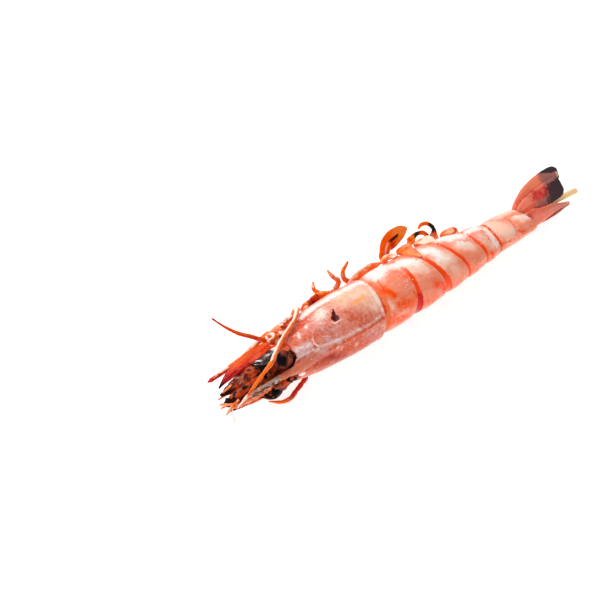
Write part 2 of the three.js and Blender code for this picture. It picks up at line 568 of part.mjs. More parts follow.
const FINISHES = {
  shell: { color: 0xe8a08a, roughness: 0.4 },
  tail: { color: 0xf0a48c, roughness: 0.38 },
  flesh: { color: 0xc4674a, roughness: 0.6 },
  leg: { color: 0xe06a3a, roughness: 0.5 },
  antenna: { color: 0xcf4a22, roughness: 0.45 },
  char: { color: 0x4a231a, roughness: 0.75 },
  eye: { color: 0x2a1411, roughness: 0.2 },
  membrane: { color: 0x8b949b, roughness: 0.25 },
  fan: { color: 0xd77b68, roughness: 0.45 },
  charred_fan: { color: 0xa8524a, roughness: 0.5 },
  bamboo: { color: 0xecc98d, roughness: 0.7 },
};

const group = new THREE.Group();

function add(name, geometry, finish) {
  const material = new THREE.MeshStandardMaterial({ ...FINISHES[finish], metalness: 0 });
  const mesh = new THREE.Mesh(geometry, material);
  mesh.name = name;
  group.add(mesh);
}

function addLimb(name, { rows, wide, sides, steps, finish }) {
  add(name, limb(body(rows), along(...wide), sides, steps), finish);
}

add('carapace', carapace(), 'shell');
add('thorax', thorax(), 'flesh');
PLATES.forEach((_, i) => add(`tail_plate_${i + 1}`, tailPlate(i), 'tail'));
for (const [name, spec] of Object.entries(LIMBS)) addLimb(name, spec);
for (const [name, [x, rows]] of Object.entries(HIGH_LEGS)) {
  const stations = [...legRoot(x, ROOT_RIGHT), ...body(rows)];
  add(name, limb(stations, new THREE.Vector3(1, 0, 0), 6, stations.length + 4), 'leg');
}
for (const [name, [x, rows]] of Object.entries(LOW_LEGS)) {
  const stations = [...legRoot(x, -ROOT_RIGHT), ...table(rows)];
  add(name, limb(stations, new THREE.Vector3(1, 0, 0), 6, stations.length + 4), 'leg');
}
HIGH_SWIMMERETS.forEach(({ rows, wide }, i) => {
  const high = { wide, rows: [...swimmeretRoot(i, SWIMMERET_SIDE), ...rows] };
  for (const [side, spec] of [['right', high], ['left', lowSwimmeret(i)]]) {
    addLimb(`swimmeret_${side}_${i + 1}`, { ...spec, sides: 6, steps: 9, finish: 'leg' });
  }
});
for (const [name, spec] of Object.entries(FAN)) addLimb(name, { ...spec, sides: 10, steps: 10 });
add('skewer', skewer(), 'bamboo');

// The origin is the middle of the underside.
const box = new THREE.Box3().setFromObject(group);
const centre = box.getCenter(new THREE.Vector3());
for (const mesh of group.children) mesh.geometry.translate(-centre.x, -centre.y, -box.min.z);

export default group;
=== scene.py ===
# %% [markdown]
# # A grilled tiger prawn on a bamboo skewer
# The prawn lies on its left side, held straight by the skewer. Its solids come from the
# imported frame. This lesson dresses every one of them in a finely modelled shell, leg or
# blade, and gives each a finish made of nodes.

# %% Load the frame
import math

import bpy
import numpy as np
from mathutils import Matrix, Vector, noise


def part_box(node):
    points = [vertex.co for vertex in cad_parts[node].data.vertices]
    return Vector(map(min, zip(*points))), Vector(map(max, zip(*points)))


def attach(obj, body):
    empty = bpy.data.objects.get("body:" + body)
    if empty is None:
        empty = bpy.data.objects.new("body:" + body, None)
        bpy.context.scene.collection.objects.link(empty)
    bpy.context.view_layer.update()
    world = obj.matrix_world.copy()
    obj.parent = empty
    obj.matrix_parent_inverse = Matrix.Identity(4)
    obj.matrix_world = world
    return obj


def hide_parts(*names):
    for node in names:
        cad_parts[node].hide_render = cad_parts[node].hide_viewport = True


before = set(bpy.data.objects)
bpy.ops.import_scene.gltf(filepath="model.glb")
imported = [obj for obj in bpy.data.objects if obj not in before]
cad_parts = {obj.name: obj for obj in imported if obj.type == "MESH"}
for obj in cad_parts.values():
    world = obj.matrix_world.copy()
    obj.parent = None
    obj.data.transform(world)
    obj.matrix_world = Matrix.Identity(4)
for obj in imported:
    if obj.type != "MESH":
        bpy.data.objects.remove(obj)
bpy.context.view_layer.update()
print("solids in the frame:", len(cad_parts))

# %% [markdown]
# Every place on the animal is told in body coordinates, in millimetres. `x` runs along
# the skewer from head to tail, `back` goes from the long axis towards the back, and
# `right` towards the animal's right side, which lies on top. The body is described by a
# few curves through knots, so the knots are all the numbers a form needs. A spline
# through knots was chosen over sculpting because each value can be read and changed.

# %% Smooth curves through knots
MM = 0.001


def smooth(knots):
    """A smooth curve through (place, value) knots, level before the first and after the last."""
    places, values = np.array(sorted(knots), float).T
    last = len(places) - 1
    after = np.minimum(np.arange(last + 1) + 1, last)
    before = np.maximum(np.arange(last + 1) - 1, 0)
    slopes = (values[after] - values[before]) / (places[after] - places[before])

    def curve(x):
        x = np.clip(x, places[0], places[-1])
        i = np.clip(np.searchsorted(places, x, side="right") - 1, 0, last - 1)
        h = places[i + 1] - places[i]
        t = (x - places[i]) / h
        rise = t * t * (3 - 2 * t)
        leave = t * (1 - t) ** 2 * h * slopes[i]
        arrive = t * t * (t - 1) * h * slopes[i + 1]
        return values[i] + (values[i + 1] - values[i]) * rise + leave + arrive

    return curve


def ramp(x, start, end):
    """0 before start, 1 after end, and a smooth step between."""
    t = np.clip((x - start) / (end - start), 0, 1)
    return t * t * (3 - 2 * t)


def bell(value, centre, width):
    """1 where value meets the centre, fading to nothing over the width on both sides."""
    return np.exp(-(((value - centre) / width) ** 2))


def around(left, back, flank, low):
    """A value that changes round the body: left flank, back, right flank, low on the right."""
    under = (left + low) / 2
    return smooth([(-180, under), (-60, left), (0, back), (60, flank), (105, low), (180, under)])


# %% How the body lies
roll_of = smooth([(-60, 20), (-28, 22.5), (0, 20), (30, 16), (60, 13)])
height_of = smooth([(-60, 11.9), (-28, 11.25), (0, 11.0), (30, 10.2), (60, 8.3), (84, 7.4)])
frame_shift = np.zeros(3)


def at(x, back, right):
    """The point at body coordinates (x, back, right), in metres in the frame."""
    x, back, right = np.broadcast_arrays(*(np.asarray(v, float) for v in (x, back, right)))
    roll = np.radians(roll_of(x))
    y = right * np.sin(roll) - back * np.cos(roll)
    z = height_of(x) + back * np.sin(roll) + right * np.cos(roll)
    return np.stack([x, y, z], axis=-1) * MM + frame_shift


SKEWER_RADIUS = 1.3
SKEWER_START = 62.0
SKEWER_TIP = 117.5
skewer_back = smooth([(SKEWER_START, -2.4), (SKEWER_TIP, -0.6)])
skewer_right = smooth([(SKEWER_START, 0.5), (99, -1.0), (SKEWER_TIP, -2.4)])


def skewer_ring(x, radius, sides):
    """The section of the stick at x."""
    turn = np.radians(np.arange(sides) * 360 / sides - 180)
    return at(x, skewer_back(x) + radius * np.cos(turn), skewer_right(x) + radius * np.sin(turn))


# The stick is the one round bar of the part: it tells where the frame's origin lies.
bar = (SKEWER_START + 0.3, 84, SKEWER_TIP - 1)
rings = np.concatenate([skewer_ring(x, SKEWER_RADIUS, 12) for x in bar])
low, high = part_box("skewer")
frame_shift[0] = high[0] - SKEWER_TIP * MM
frame_shift[1] = (low[1] + high[1] - rings[:, 1].min() - rings[:, 1].max()) / 2
print("frame origin lies at body x %.2f mm, y %.2f mm" % tuple(-frame_shift[:2] / MM))

# %% Sizes of the body
TAIL_BACK = smooth([
    (-14, 12.3), (0, 12.7), (14, 12.6), (28, 12.0), (40, 11.1), (50, 10.1), (60, 9.1), (72, 8.5), (84, 8.3),
])
TAIL_BELLY = smooth([(-14, 13.2), (0, 13.5), (28, 12.3), (50, 10.4), (60, 9.2), (84, 8.0)])
TAIL_SIDE = smooth([
    (-14, 11.0), (0, 11.2), (14, 10.8), (28, 10.0), (40, 8.7), (50, 7.3), (60, 6.1), (72, 5.4), (84, 5.3),
])
HEAD_BACK = smooth([(-66, 11.0), (-50, 11.7), (-38, 12.3), (-25, 12.9), (-12, 13.1)])
HEAD_BELLY = smooth([(-60, 11.0), (-50, 13.0), (-38, 14.6), (-25, 15.2), (-12, 15.0)])
HEAD_SIDE = smooth([(-64, 7.2), (-56, 8.8), (-48, 10.2), (-38, 11.3), (-25, 11.9), (-12, 11.8)])
CORE_BACK = smooth([(-58, 7.0), (-50, 9.3), (-38, 10.9), (-25, 11.6), (-12, 11.8)])
CORE_BELLY = smooth([(-58, 7.0), (-50, 9.8), (-42, 12.6), (-25, 13.9), (-12, 13.7)])
CORE_SIDE = smooth([(-58, 4.4), (-52, 4.8), (-46, 7.4), (-40, 9.7), (-25, 10.6), (-12, 10.5)])
print("body is %.0f mm wide at the first tail ring" % (2 * TAIL_SIDE(0)))

# %% [markdown]
# The prawn is seen from its head end, from above and a little over its back. The camera
# stands three quarters of a metre away, so the perspective is gentle. Its place comes
# from one point of the body that has to lie at a known place in the square picture.

# %% Camera
PICTURE = 600
FOCAL_PIXELS = 1912.5
DISTANCE = 0.750
AZIMUTH = math.radians(-44.4)
ELEVATION = math.radians(38)
SENSOR = 36.0
AIM_PIXEL = (394, 300)
aim = Vector(np.array([0, -3.2, 11.2]) * MM + frame_shift)
back = Vector((
    math.sin(AZIMUTH) * math.cos(ELEVATION), -math.cos(AZIMUTH) * math.cos(ELEVATION), math.sin(ELEVATION),
))
right = Vector((math.cos(AZIMUTH), math.sin(AZIMUTH), 0))
up = back.cross(right)
aside = (AIM_PIXEL[0] - PICTURE / 2) / FOCAL_PIXELS * DISTANCE
above = (PICTURE / 2 - AIM_PIXEL[1]) / FOCAL_PIXELS * DISTANCE

lens = bpy.data.cameras.new("camera")
lens.sensor_width = SENSOR
lens.lens = SENSOR * FOCAL_PIXELS / PICTURE
camera = bpy.data.objects.new("camera", lens)
bpy.context.scene.collection.objects.link(camera)
turned = Matrix((right, up, back)).transposed().to_4x4()
camera.matrix_world = Matrix.Translation(aim + back * DISTANCE - right * aside - up * above) @ turned
bpy.context.scene.camera = camera
print("camera %.0f mm lens at" % lens.lens, [round(v, 3) for v in camera.location])

# %% [markdown]
# Wet shell is told by its highlights. A broad lamp stands behind the belly and above, so
# that its light skims over the upper flank towards the camera. A weaker lamp fills from
# the camera's side, and a white world opens the shadows.

# %% Floor, lamps and world
FLOOR_SIZE = 6.0
floor_mesh = bpy.data.meshes.new("floor")
half = FLOOR_SIZE / 2
corners = [(-half, -half, 0), (half, -half, 0), (half, half, 0), (-half, half, 0)]
floor_mesh.from_pydata(corners, [], [(0, 1, 2, 3)])
floor = bpy.data.objects.new("floor", floor_mesh)
floor.location.z = -0.0002
bpy.context.scene.collection.objects.link(floor)

LAMPS = {
    "key": {"place": (0.10, 0.42, 0.62), "size": 0.50, "watts": 4.4},
    "fill": {"place": (-0.55, -0.50, 0.45), "size": 0.70, "watts": 1.9},
    "head": {"place": (-0.60, 0.25, 0.30), "size": 0.40, "watts": 1.0},
}
for name, spec in LAMPS.items():
    lamp = bpy.data.lights.new(name, "AREA")
    lamp.shape = "SQUARE"
    lamp.size = spec["size"]
    lamp.energy = spec["watts"]
    holder = bpy.data.objects.new(name, lamp)
    holder.location = spec["place"]
    holder.rotation_euler = Vector(spec["place"]).to_track_quat("Z", "Y").to_euler()
    bpy.context.scene.collection.objects.link(holder)

world = bpy.data.worlds.new("studio")
world.use_nodes = True
WORLD_LIGHT = 0.38
world.node_tree.nodes["Background"].inputs["Color"].default_value = (1.0, 1.0, 1.0, 1)
world.node_tree.nodes["Background"].inputs["Strength"].default_value = WORLD_LIGHT
bpy.context.scene.world = world
bpy.context.scene.view_settings.view_transform = "Standard"
print("lamps:", ", ".join(LAMPS))


# %% [markdown]
# Cooked shell is one pigment spread unevenly. Instead of pictures, the finish uses masks:
# numbers stored at every point of a mesh that say how orange, deep red, pale, creamy,
# mauve or burnt that point is. On many pieces some of them also hold painted shade and
# painted highlight. Brush strokes through body coordinates set the masks, and the shader
# breaks their edges up with noise, so that no edge looks drawn.

# %% Brush strokes
MASKS = ("cream", "amber", "warm", "deep", "mauve", "pale", "char")
MM_PER_DEGREE = 0.2


def stroke(x, turn, path, width):
    """How much a brush of that width, drawn along path, covers each point: 1 in the middle."""
    spots = np.array(path, float) * (1, MM_PER_DEGREE)
    px, py = np.asarray(x, float), np.asarray(turn, float) * MM_PER_DEGREE
    nearest = np.full(np.broadcast(px, py).shape, np.inf)
    for a, b in zip(spots, spots[1:] if len(spots) > 1 else spots):
        run = b - a
        t = np.clip(((px - a[0]) * run[0] + (py - a[1]) * run[1]) / max(run @ run, 1e-9), 0, 1)
        nearest = np.minimum(nearest, np.hypot(px - a[0] - t * run[0], py - a[1] - t * run[1]))
    return bell(nearest, 0, width)


def lay(masks, mask, layer):
    """Lays one more layer on a mask, which counts wherever it is the stronger one."""
    masks[mask] = np.maximum(masks.get(mask, 0), layer)


def paint(x, turn, strokes):
    """The masks that strokes of (strength, width, path) leave, told for each mask."""
    masks = {}
    for mask, lines in strokes.items():
        for strength, width, path in lines:
            lay(masks, mask, strength * stroke(x, turn, path, width))
    return masks


print("masks:", ", ".join(MASKS))

# %% [markdown]
# Meshes are built from lattices: rows of points that all have equally many columns. One
# function closes a lattice to a skin, turns its faces outwards and stores its masks.

# %% From a lattice to a piece


def normals(points, closed):
    """Outward directions of a lattice whose columns run round a ring."""
    along = np.gradient(points, axis=0)
    if closed:
        across = np.roll(points, -1, axis=1) - np.roll(points, 1, axis=1)
    else:
        across = np.gradient(points, axis=1)
    out = np.cross(along, across)
    out /= np.linalg.norm(out, axis=-1, keepdims=True) + 1e-12
    outward = points - points.mean(axis=1, keepdims=True)
    sign = np.sign((out * outward).sum(axis=-1).mean())
    return out * sign


def bumps(points, size, seed=0.0, stretch=1.0):
    """Smooth unevenness between about -1 and 1, in lumps of that size in mm, stretched along x."""
    scaled = points.reshape(-1, 3) / (size * MM) / (stretch, 1, 1) + seed * 7.31
    values = np.array([noise.noise(p) for p in scaled.tolist()])
    return values.reshape(points.shape[:-1])


def relief(points, height, closed=True):
    """The lattice with its points moved outwards by height, in millimetres."""
    return points + normals(points, closed) * (height * MM)[..., None]


def lattice_faces(rows, columns, closed, flipped=False):
    """Quads between the rows of a lattice."""
    wide = columns if closed else columns - 1
    i, j = np.meshgrid(np.arange(rows - 1), np.arange(wide), indexing="ij")
    a = i * columns + j
    b = i * columns + (j + 1) % columns
    quads = np.stack([a, b, b + columns, a + columns], axis=-1).reshape(-1, 4)
    return quads[:, ::-1] if flipped else quads


def make_piece(name, points, faces, masks, material, node):
    """A smooth mesh object from points, faces and masks, which stands for a node of the frame."""
    mesh = bpy.data.meshes.new(name)
    mesh.from_pydata(points.tolist(), [], [tuple(f) for f in faces])
    mesh.validate()
    mesh.shade_smooth()
    for mask, values in masks.items():
        layer = mesh.attributes.new(mask, "FLOAT", "POINT")
        layer.data.foreach_set("value", np.asarray(values, np.float32).ravel())
    piece = bpy.data.objects.new(name, mesh)
    bpy.context.scene.collection.objects.link(piece)
    mesh.materials.append(material)
    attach(piece, "root")
    if node:
        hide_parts(node)
    return piece


def volume(points, faces):
    """Six times the volume inside quads, negative when they face inwards."""
    a, b, c, d = (points[faces[:, k]] for k in range(4))
    return (a * np.cross(b, c)).sum() + (a * np.cross(c, d)).sum()


def ring_piece(name, points, masks, material, node=None):
    """A closed skin through rings of points, with a fan over each end."""
    rows, columns = points.shape[:2]
    quads = lattice_faces(rows, columns, closed=True)
    flat = points.reshape(-1, 3)
    flipped = volume(flat - flat.mean(axis=0), quads) < 0
    faces = list(map(tuple, quads[:, ::-1] if flipped else quads))
    first, last = rows * columns, rows * columns + 1
    for j in range(columns):
        k = (j + 1) % columns
        front = (k, j, first)
        rear = ((rows - 1) * columns + j, (rows - 1) * columns + k, last)
        faces += [front[::-1], rear[::-1]] if flipped else [front, rear]
    hubs = np.stack([points[0].mean(axis=0), points[-1].mean(axis=0)])
    filled = {}
    for mask, values in masks.items():
        values = np.broadcast_to(values, (rows, columns))
        filled[mask] = np.concatenate([values.ravel(), [values[0].mean(), values[-1].mean()]])
    return make_piece(name, np.concatenate([flat, hubs]), faces, filled, material, node)


def tell(piece):
    """Prints how finely a piece was made."""
    print(piece.name, "has", len(piece.data.vertices), "points")


print("lattice tools ready")

# %% [markdown]
# The shaders share two node groups. The first breaks the edge of a mask up with noise.
# The second lays the masks over a base colour in the order in which heat made them:
# cream, amber, orange, deep red, mauve bloom, pale salt, and burnt patches last. The
# orange, deep red and pale layers also carry painted shade and painted highlight.

# %% A small helper to write node trees


class Net:
    """Adds nodes to a tree and links whatever is a socket, so that a formula reads as one."""

    def __init__(self, tree):
        self.tree = tree
        self.nodes = tree.nodes

    def node(self, kind, inputs=(), **settings):
        made = self.nodes.new(kind)
        for key, value in settings.items():
            setattr(made, key, value)
        for key, value in dict(inputs).items():
            self.feed(made.inputs[key], value)
        return made

    def feed(self, socket, value):
        if isinstance(value, bpy.types.NodeSocket):
            self.tree.links.new(value, socket)
        else:
            socket.default_value = value

    def math(self, operation, a, b=0.0, clamp=False):
        return self.node("ShaderNodeMath", {0: a, 1: b}, operation=operation, use_clamp=clamp).outputs[0]

    def blend(self, factor, a, b, way="MIX"):
        mixed = self.node("ShaderNodeMix", {0: factor, 6: a, 7: b}, data_type="RGBA", blend_type=way)
        return mixed.outputs[2]

    def noise(self, vector, scale, detail=4.0, roughness=0.55):
        inputs = {"Vector": vector, "Scale": scale, "Detail": detail, "Roughness": roughness}
        return self.node("ShaderNodeTexNoise", inputs).outputs["Fac"]

    def mask(self, name):
        return self.node("ShaderNodeAttribute", attribute_name=name).outputs["Fac"]

    def step(self, value, start, end):
        inputs = {"Value": value, "From Min": start, "From Max": end}
        return self.node("ShaderNodeMapRange", inputs, interpolation_type="SMOOTHSTEP").outputs[0]


def srgb(red, green, blue):
    """A colour given in screen values from 0 to 255, as the linear colour that shaders use."""
    parts = [v / 255 for v in (red, green, blue)]
    return tuple(p / 12.92 if p <= 0.04045 else ((p + 0.055) / 1.055) ** 2.4 for p in parts) + (1.0,)


def new_group(name, inputs, outputs):
    """An empty shader node group with its sockets, as a Net and its two end nodes."""
    group = bpy.data.node_groups.new(name, "ShaderNodeTree")
    for label, kind, value in inputs:
        socket = group.interface.new_socket(label, in_out="INPUT", socket_type=kind)
        if value is not None:
            socket.default_value = value
    for label, kind in outputs:
        group.interface.new_socket(label, in_out="OUTPUT", socket_type=kind)
    net = Net(group)
    return group, net, net.node("NodeGroupInput"), net.node("NodeGroupOutput")


FLOAT, COLOUR, VECTOR = "NodeSocketFloat", "NodeSocketColor", "NodeSocketVector"
print("node helpers ready")

# %% Group: a mask with a torn edge
torn_edge, net, given, result = new_group(
    "torn edge",
    [
        ("Mask", FLOAT, 0.0), ("Place", VECTOR, None), ("Grain", FLOAT, 900.0), ("Tear", FLOAT, 0.5),
        ("Softness", FLOAT, 0.25),
    ],
    [("Cover", FLOAT)],
)
grain = net.noise(given.outputs["Place"], given.outputs["Grain"], detail=5.0, roughness=0.65)
shaken = net.math("MULTIPLY", net.math("SUBTRACT", grain, 0.5), given.outputs["Tear"])
present = net.step(given.outputs["Mask"], 0.02, 0.35)
moved = net.math("ADD", given.outputs["Mask"], net.math("MULTIPLY", shaken, present))
EDGE = 0.45
start = net.math("SUBTRACT", EDGE, given.outputs["Softness"])
end = net.math("ADD", EDGE, given.outputs["Softness"])
net.feed(result.inputs["Cover"], net.step(moved, start, end))
print("made group:", torn_edge.name)

# %% [markdown]
# Under the painted patches, shell has a life of its own: clouds a few millimetres wide
# where pigment gathers, a finer mottling, a stipple of pores, and short pale and red
# streaks that run with the body. All four come from noise at different scales.

# %% Group: cooked shell
TINTS = {
    "Base": (232, 150, 128), "Warm": (238, 92, 34), "Deep": (186, 44, 30), "Cream": (252, 214, 186),
    "Mauve": (190, 140, 148), "Pale": (255, 244, 238), "Char": (46, 18, 14), "Amber": (252, 160, 74),
}
STRENGTHS = {"Cloud": 0.5, "Stipple": 0.5, "Gloss": 0.35}
cooked_shell, net, given, result = new_group(
    "cooked shell",
    [(label, COLOUR, srgb(*screen)) for label, screen in TINTS.items()]
    + [(label, FLOAT, value) for label, value in STRENGTHS.items()],
    [("Colour", COLOUR), ("Roughness", FLOAT), ("Height", FLOAT)],
)
place = net.node("ShaderNodeTexCoord").outputs["Object"]
clouds = net.noise(place, 170.0, detail=6.0, roughness=0.62)
mottle = net.noise(place, 620.0, detail=4.0, roughness=0.6)
pores = net.noise(place, 1400.0, detail=3.0, roughness=0.7)
stretched = net.node("ShaderNodeMapping", {"Vector": place, "Scale": (260.0, 1100.0, 1100.0)}).outputs[0]
streaks = net.noise(stretched, 1.0, detail=5.0, roughness=0.6)

# Each row: a pattern, where it starts and is full, what scales it, its strength and its tint.
MOTTLING = [
    (clouds, 0.50, 0.68, "Cloud", 0.55, "Warm"), (clouds, 0.50, 0.32, "Cloud", 0.35, "Cream"),
    (mottle, 0.53, 0.66, "Cloud", 0.45, "Cream"), (mottle, 0.47, 0.35, "Cloud", 0.45, "Warm"),
    (streaks, 0.54, 0.68, "Stipple", 0.5, "Pale"), (streaks, 0.46, 0.34, "Stipple", 0.5, "Warm"),
    (pores, 0.56, 0.72, "Stipple", 0.35, "Deep"),
]
colour = given.outputs["Base"]
for pattern, start, end, scaled_by, strength, tint in MOTTLING:
    cover = net.math("MULTIPLY", net.step(pattern, start, end), given.outputs[scaled_by])
    colour = net.blend(net.math("MULTIPLY", cover, strength), colour, given.outputs[tint])

# Each row: a mask, and how fine, how torn and how soft its edge is.
LAYERS = [
    ("cream", 350.0, 1.2, 0.45), ("amber", 500.0, 1.5, 0.45), ("warm", 600.0, 2.2, 0.40),
    ("deep", 550.0, 1.8, 0.42), ("mauve", 500.0, 1.8, 0.44), ("pale", 700.0, 1.5, 0.44),
    ("char", 800.0, 1.5, 0.32),
]
covers = {}
for mask, grain, tear, softness in LAYERS:
    inputs = {"Mask": net.mask(mask), "Place": place, "Grain": grain, "Tear": tear, "Softness": softness}
    covers[mask] = net.node("ShaderNodeGroup", inputs, node_tree=torn_edge).outputs["Cover"]
    colour = net.blend(covers[mask], colour, given.outputs[mask.capitalize()])

rough = net.math("ADD", given.outputs["Gloss"], net.math("MULTIPLY", pores, 0.10))
rough = net.math("ADD", rough, net.math("MULTIPLY", covers["pale"], 0.10))
rough = net.math("ADD", rough, net.math("MULTIPLY", covers["char"], 0.25), clamp=True)
height = net.math("ADD", net.math("MULTIPLY", pores, 0.35), net.math("MULTIPLY", clouds, 0.65))
height = net.math("ADD", height, net.math("MULTIPLY", covers["pale"], 0.25))
net.feed(result.inputs["Colour"], colour)
net.feed(result.inputs["Roughness"], rough)
net.feed(result.inputs["Height"], height)
print("made group:", cooked_shell.name, "with", len(net.nodes), "nodes")


# %% [markdown]
# One shader body serves all shell: a principled surface with a thin wet coat and a little
# light passing through. Only the colours, the strength of the patterns, the gloss, the
# coat and the depth of the bump differ from one part of the animal to the next.


def shell_material(name, slot, cloud=0.5, stipple=0.5, gloss=0.18, bump=0.25, coat=0.06, glow=0.08,
                   shine=0.15, **tints):
    """A cooked shell with its own tints: screen colours, named as the group's colour inputs are."""
    material = bpy.data.materials.new(name)
    material.use_nodes = True
    net = Net(material.node_tree)
    surface = net.nodes["Principled BSDF"]
    strengths = {"Cloud": cloud, "Stipple": stipple, "Gloss": gloss}
    skin = net.node("ShaderNodeGroup", strengths, node_tree=cooked_shell)
    for tint, screen in tints.items():
        net.feed(skin.inputs[tint.capitalize()], srgb(*screen))
    net.feed(surface.inputs["Base Color"], skin.outputs["Colour"])
    net.feed(surface.inputs["Roughness"], skin.outputs["Roughness"])
    height = {"Height": skin.outputs["Height"], "Strength": bump, "Distance": 0.0006}
    net.feed(surface.inputs["Normal"], net.node("ShaderNodeBump", height).outputs["Normal"])
    surface.inputs["Coat Weight"].default_value = coat
    surface.inputs["Specular IOR Level"].default_value = shine
    surface.inputs["Coat Roughness"].default_value = 0.08
    surface.inputs["Subsurface Weight"].default_value = glow
    surface.inputs["Subsurface Radius"].default_value = (1.0, 0.35, 0.2)
    surface.inputs["Subsurface Scale"].default_value = 0.0015
    return material


head_shell = shell_material(
    "head shell", "shell", cloud=0.6, stipple=0.7, base=(230, 132, 110), warm=(212, 82, 44),
    deep=(166, 42, 28), cream=(252, 210, 182), mauve=(214, 166, 166), pale=(252, 232, 224),
    char=(92, 4, 8), amber=(255, 166, 92),
)
tail_shell = shell_material(
    "tail shell", "tail", cloud=0.45, stipple=0.5, base=(248, 142, 108), warm=(255, 76, 8),
    deep=(214, 8, 16), cream=(255, 202, 178), mauve=(222, 156, 146), pale=(254, 240, 233),
    char=(60, 24, 16), amber=(252, 112, 40),
)
flesh = shell_material(
    "flesh", "flesh", cloud=0.8, stipple=0.7, gloss=0.36, bump=0.5, base=(236, 120, 66),
    warm=(240, 84, 14), deep=(150, 30, 14), cream=(250, 184, 140), pale=(252, 222, 200), char=(40, 12, 8),
)
leg_shell = shell_material(
    "leg shell", "leg", cloud=0.35, stipple=0.3, gloss=0.24, base=(244, 126, 78), warm=(255, 108, 4),
    deep=(206, 40, 6), cream=(250, 172, 118), pale=(255, 224, 202), char=(38, 12, 6),
    amber=(255, 146, 44),
)
feeler_shell = shell_material(
    "feeler shell", "antenna", cloud=0.5, stipple=0.35, gloss=0.26, coat=0.03, shine=0.08,
    base=(226, 54, 6), warm=(240, 92, 10), deep=(172, 2, 4), cream=(246, 166, 116), pale=(254, 232, 218),
    char=(46, 2, 2),
)
charred = shell_material(
    "charred shell", "char", cloud=0.9, stipple=0.8, gloss=0.34, bump=0.9, coat=0.02, glow=0.0,
    shine=0.10, base=(146, 42, 14), warm=(206, 76, 26), deep=(88, 12, 2), cream=(206, 136, 98),
    mauve=(120, 96, 92), pale=(214, 180, 160), char=(34, 8, 5),
)
eye_black = shell_material(
    "eye", "eye", cloud=0.8, stipple=0.6, gloss=0.24, bump=0.5, coat=0.02, glow=0.0, shine=0.08,
    base=(96, 24, 10), warm=(156, 56, 26), deep=(40, 6, 4), cream=(150, 84, 56), pale=(200, 160, 140),
    char=(6, 2, 2),
)
membrane_grey = shell_material(
    "membrane", "membrane", cloud=0.5, stipple=0.3, gloss=0.2, bump=0.6, coat=0.08, glow=0.0, shine=0.2,
    base=(138, 134, 138), warm=(150, 90, 60), deep=(66, 48, 46), cream=(196, 202, 210),
    pale=(232, 238, 242), char=(8, 4, 4),
)
blade_grey = shell_material(
    "rostrum blade", "shell", cloud=0.6, stipple=0.4, gloss=0.2, base=(134, 108, 88), warm=(206, 92, 58),
    deep=(112, 48, 30), cream=(172, 156, 134), mauve=(216, 116, 88), pale=(222, 208, 194),
    char=(46, 20, 14),
)
fan_shell = shell_material(
    "fan shell", "fan", cloud=0.2, stipple=0.25, base=(236, 112, 86), warm=(244, 114, 82),
    deep=(196, 62, 46), cream=(248, 188, 164), mauve=(206, 122, 104), pale=(244, 204, 190),
    char=(212, 166, 154),
)
burnt_fan = shell_material(
    "burnt fan shell", "charred_fan", cloud=0.35, stipple=0.4, gloss=0.34, shine=0.12,
    base=(252, 138, 110), warm=(255, 142, 106), deep=(216, 58, 54), cream=(236, 190, 160),
    mauve=(170, 108, 100), pale=(224, 184, 166), char=(66, 48, 52),
)

# %% [markdown]
# Bamboo is a bundle of straight fibres. Noise that is stretched forty times along the
# stick draws them, in the colour and as a shallow relief, and a slower noise warms the
# stick where the heat reached it.

# %% Material: bamboo
bamboo = bpy.data.materials.new("bamboo")
bamboo.use_nodes = True
net = Net(bamboo.node_tree)
surface = net.nodes["Principled BSDF"]
place = net.node("ShaderNodeTexCoord").outputs["Object"]
fibre_space = net.node("ShaderNodeMapping", {"Vector": place, "Scale": (90.0, 3600.0, 3600.0)}).outputs[0]
fibres = net.noise(fibre_space, 1.0, detail=4.0, roughness=0.6)
toast = net.noise(place, 120.0, detail=3.0)
colour = net.blend(net.step(fibres, 0.35, 0.7), srgb(255, 224, 168), srgb(252, 202, 138))
colour = net.blend(net.math("MULTIPLY", net.step(toast, 0.52, 0.7), 0.25), colour, srgb(216, 158, 104))
net.feed(surface.inputs["Base Color"], colour)
net.feed(surface.inputs["Roughness"], net.math("ADD", 0.5, net.math("MULTIPLY", fibres, 0.2)))
grooves = net.node("ShaderNodeBump", {"Height": fibres, "Strength": 0.4, "Distance": 0.0004})
net.feed(surface.inputs["Normal"], grooves.outputs["Normal"])
print("made material:", bamboo.name)

# %% Material: pale floor
pale_floor = bpy.data.materials.new("pale floor")
pale_floor.use_nodes = True
net = Net(pale_floor.node_tree)
surface = net.nodes["Principled BSDF"]
place = net.node("ShaderNodeTexCoord").outputs["Object"]
mist = net.noise(place, 3.0, detail=2.0)
net.feed(surface.inputs["Base Color"], net.blend(mist, srgb(188, 188, 188), srgb(192, 191, 190)))
surface.inputs["Roughness"].default_value = 0.9
surface.inputs["Specular IOR Level"].default_value = 0.1
surface.inputs["Emission Color"].default_value = (1.0, 1.0, 1.0, 1)
surface.inputs["Emission Strength"].default_value = 0.80
floor.data.materials.append(pale_floor)
print("made material:", pale_floor.name)

# %% [markdown]
# A tail ring overlaps the next like a cup over a neck. Its side view tells the whole
# form: a sunk neck in front, a shoulder, a gentle bulge, a rounded rear edge and a thin
# wall back into the cup. That line is drawn at every angle round the body. The four
# lengths for each ring say where it ends and how much neck shows, at the left flank, on
# the back, at the right flank and low on the right.

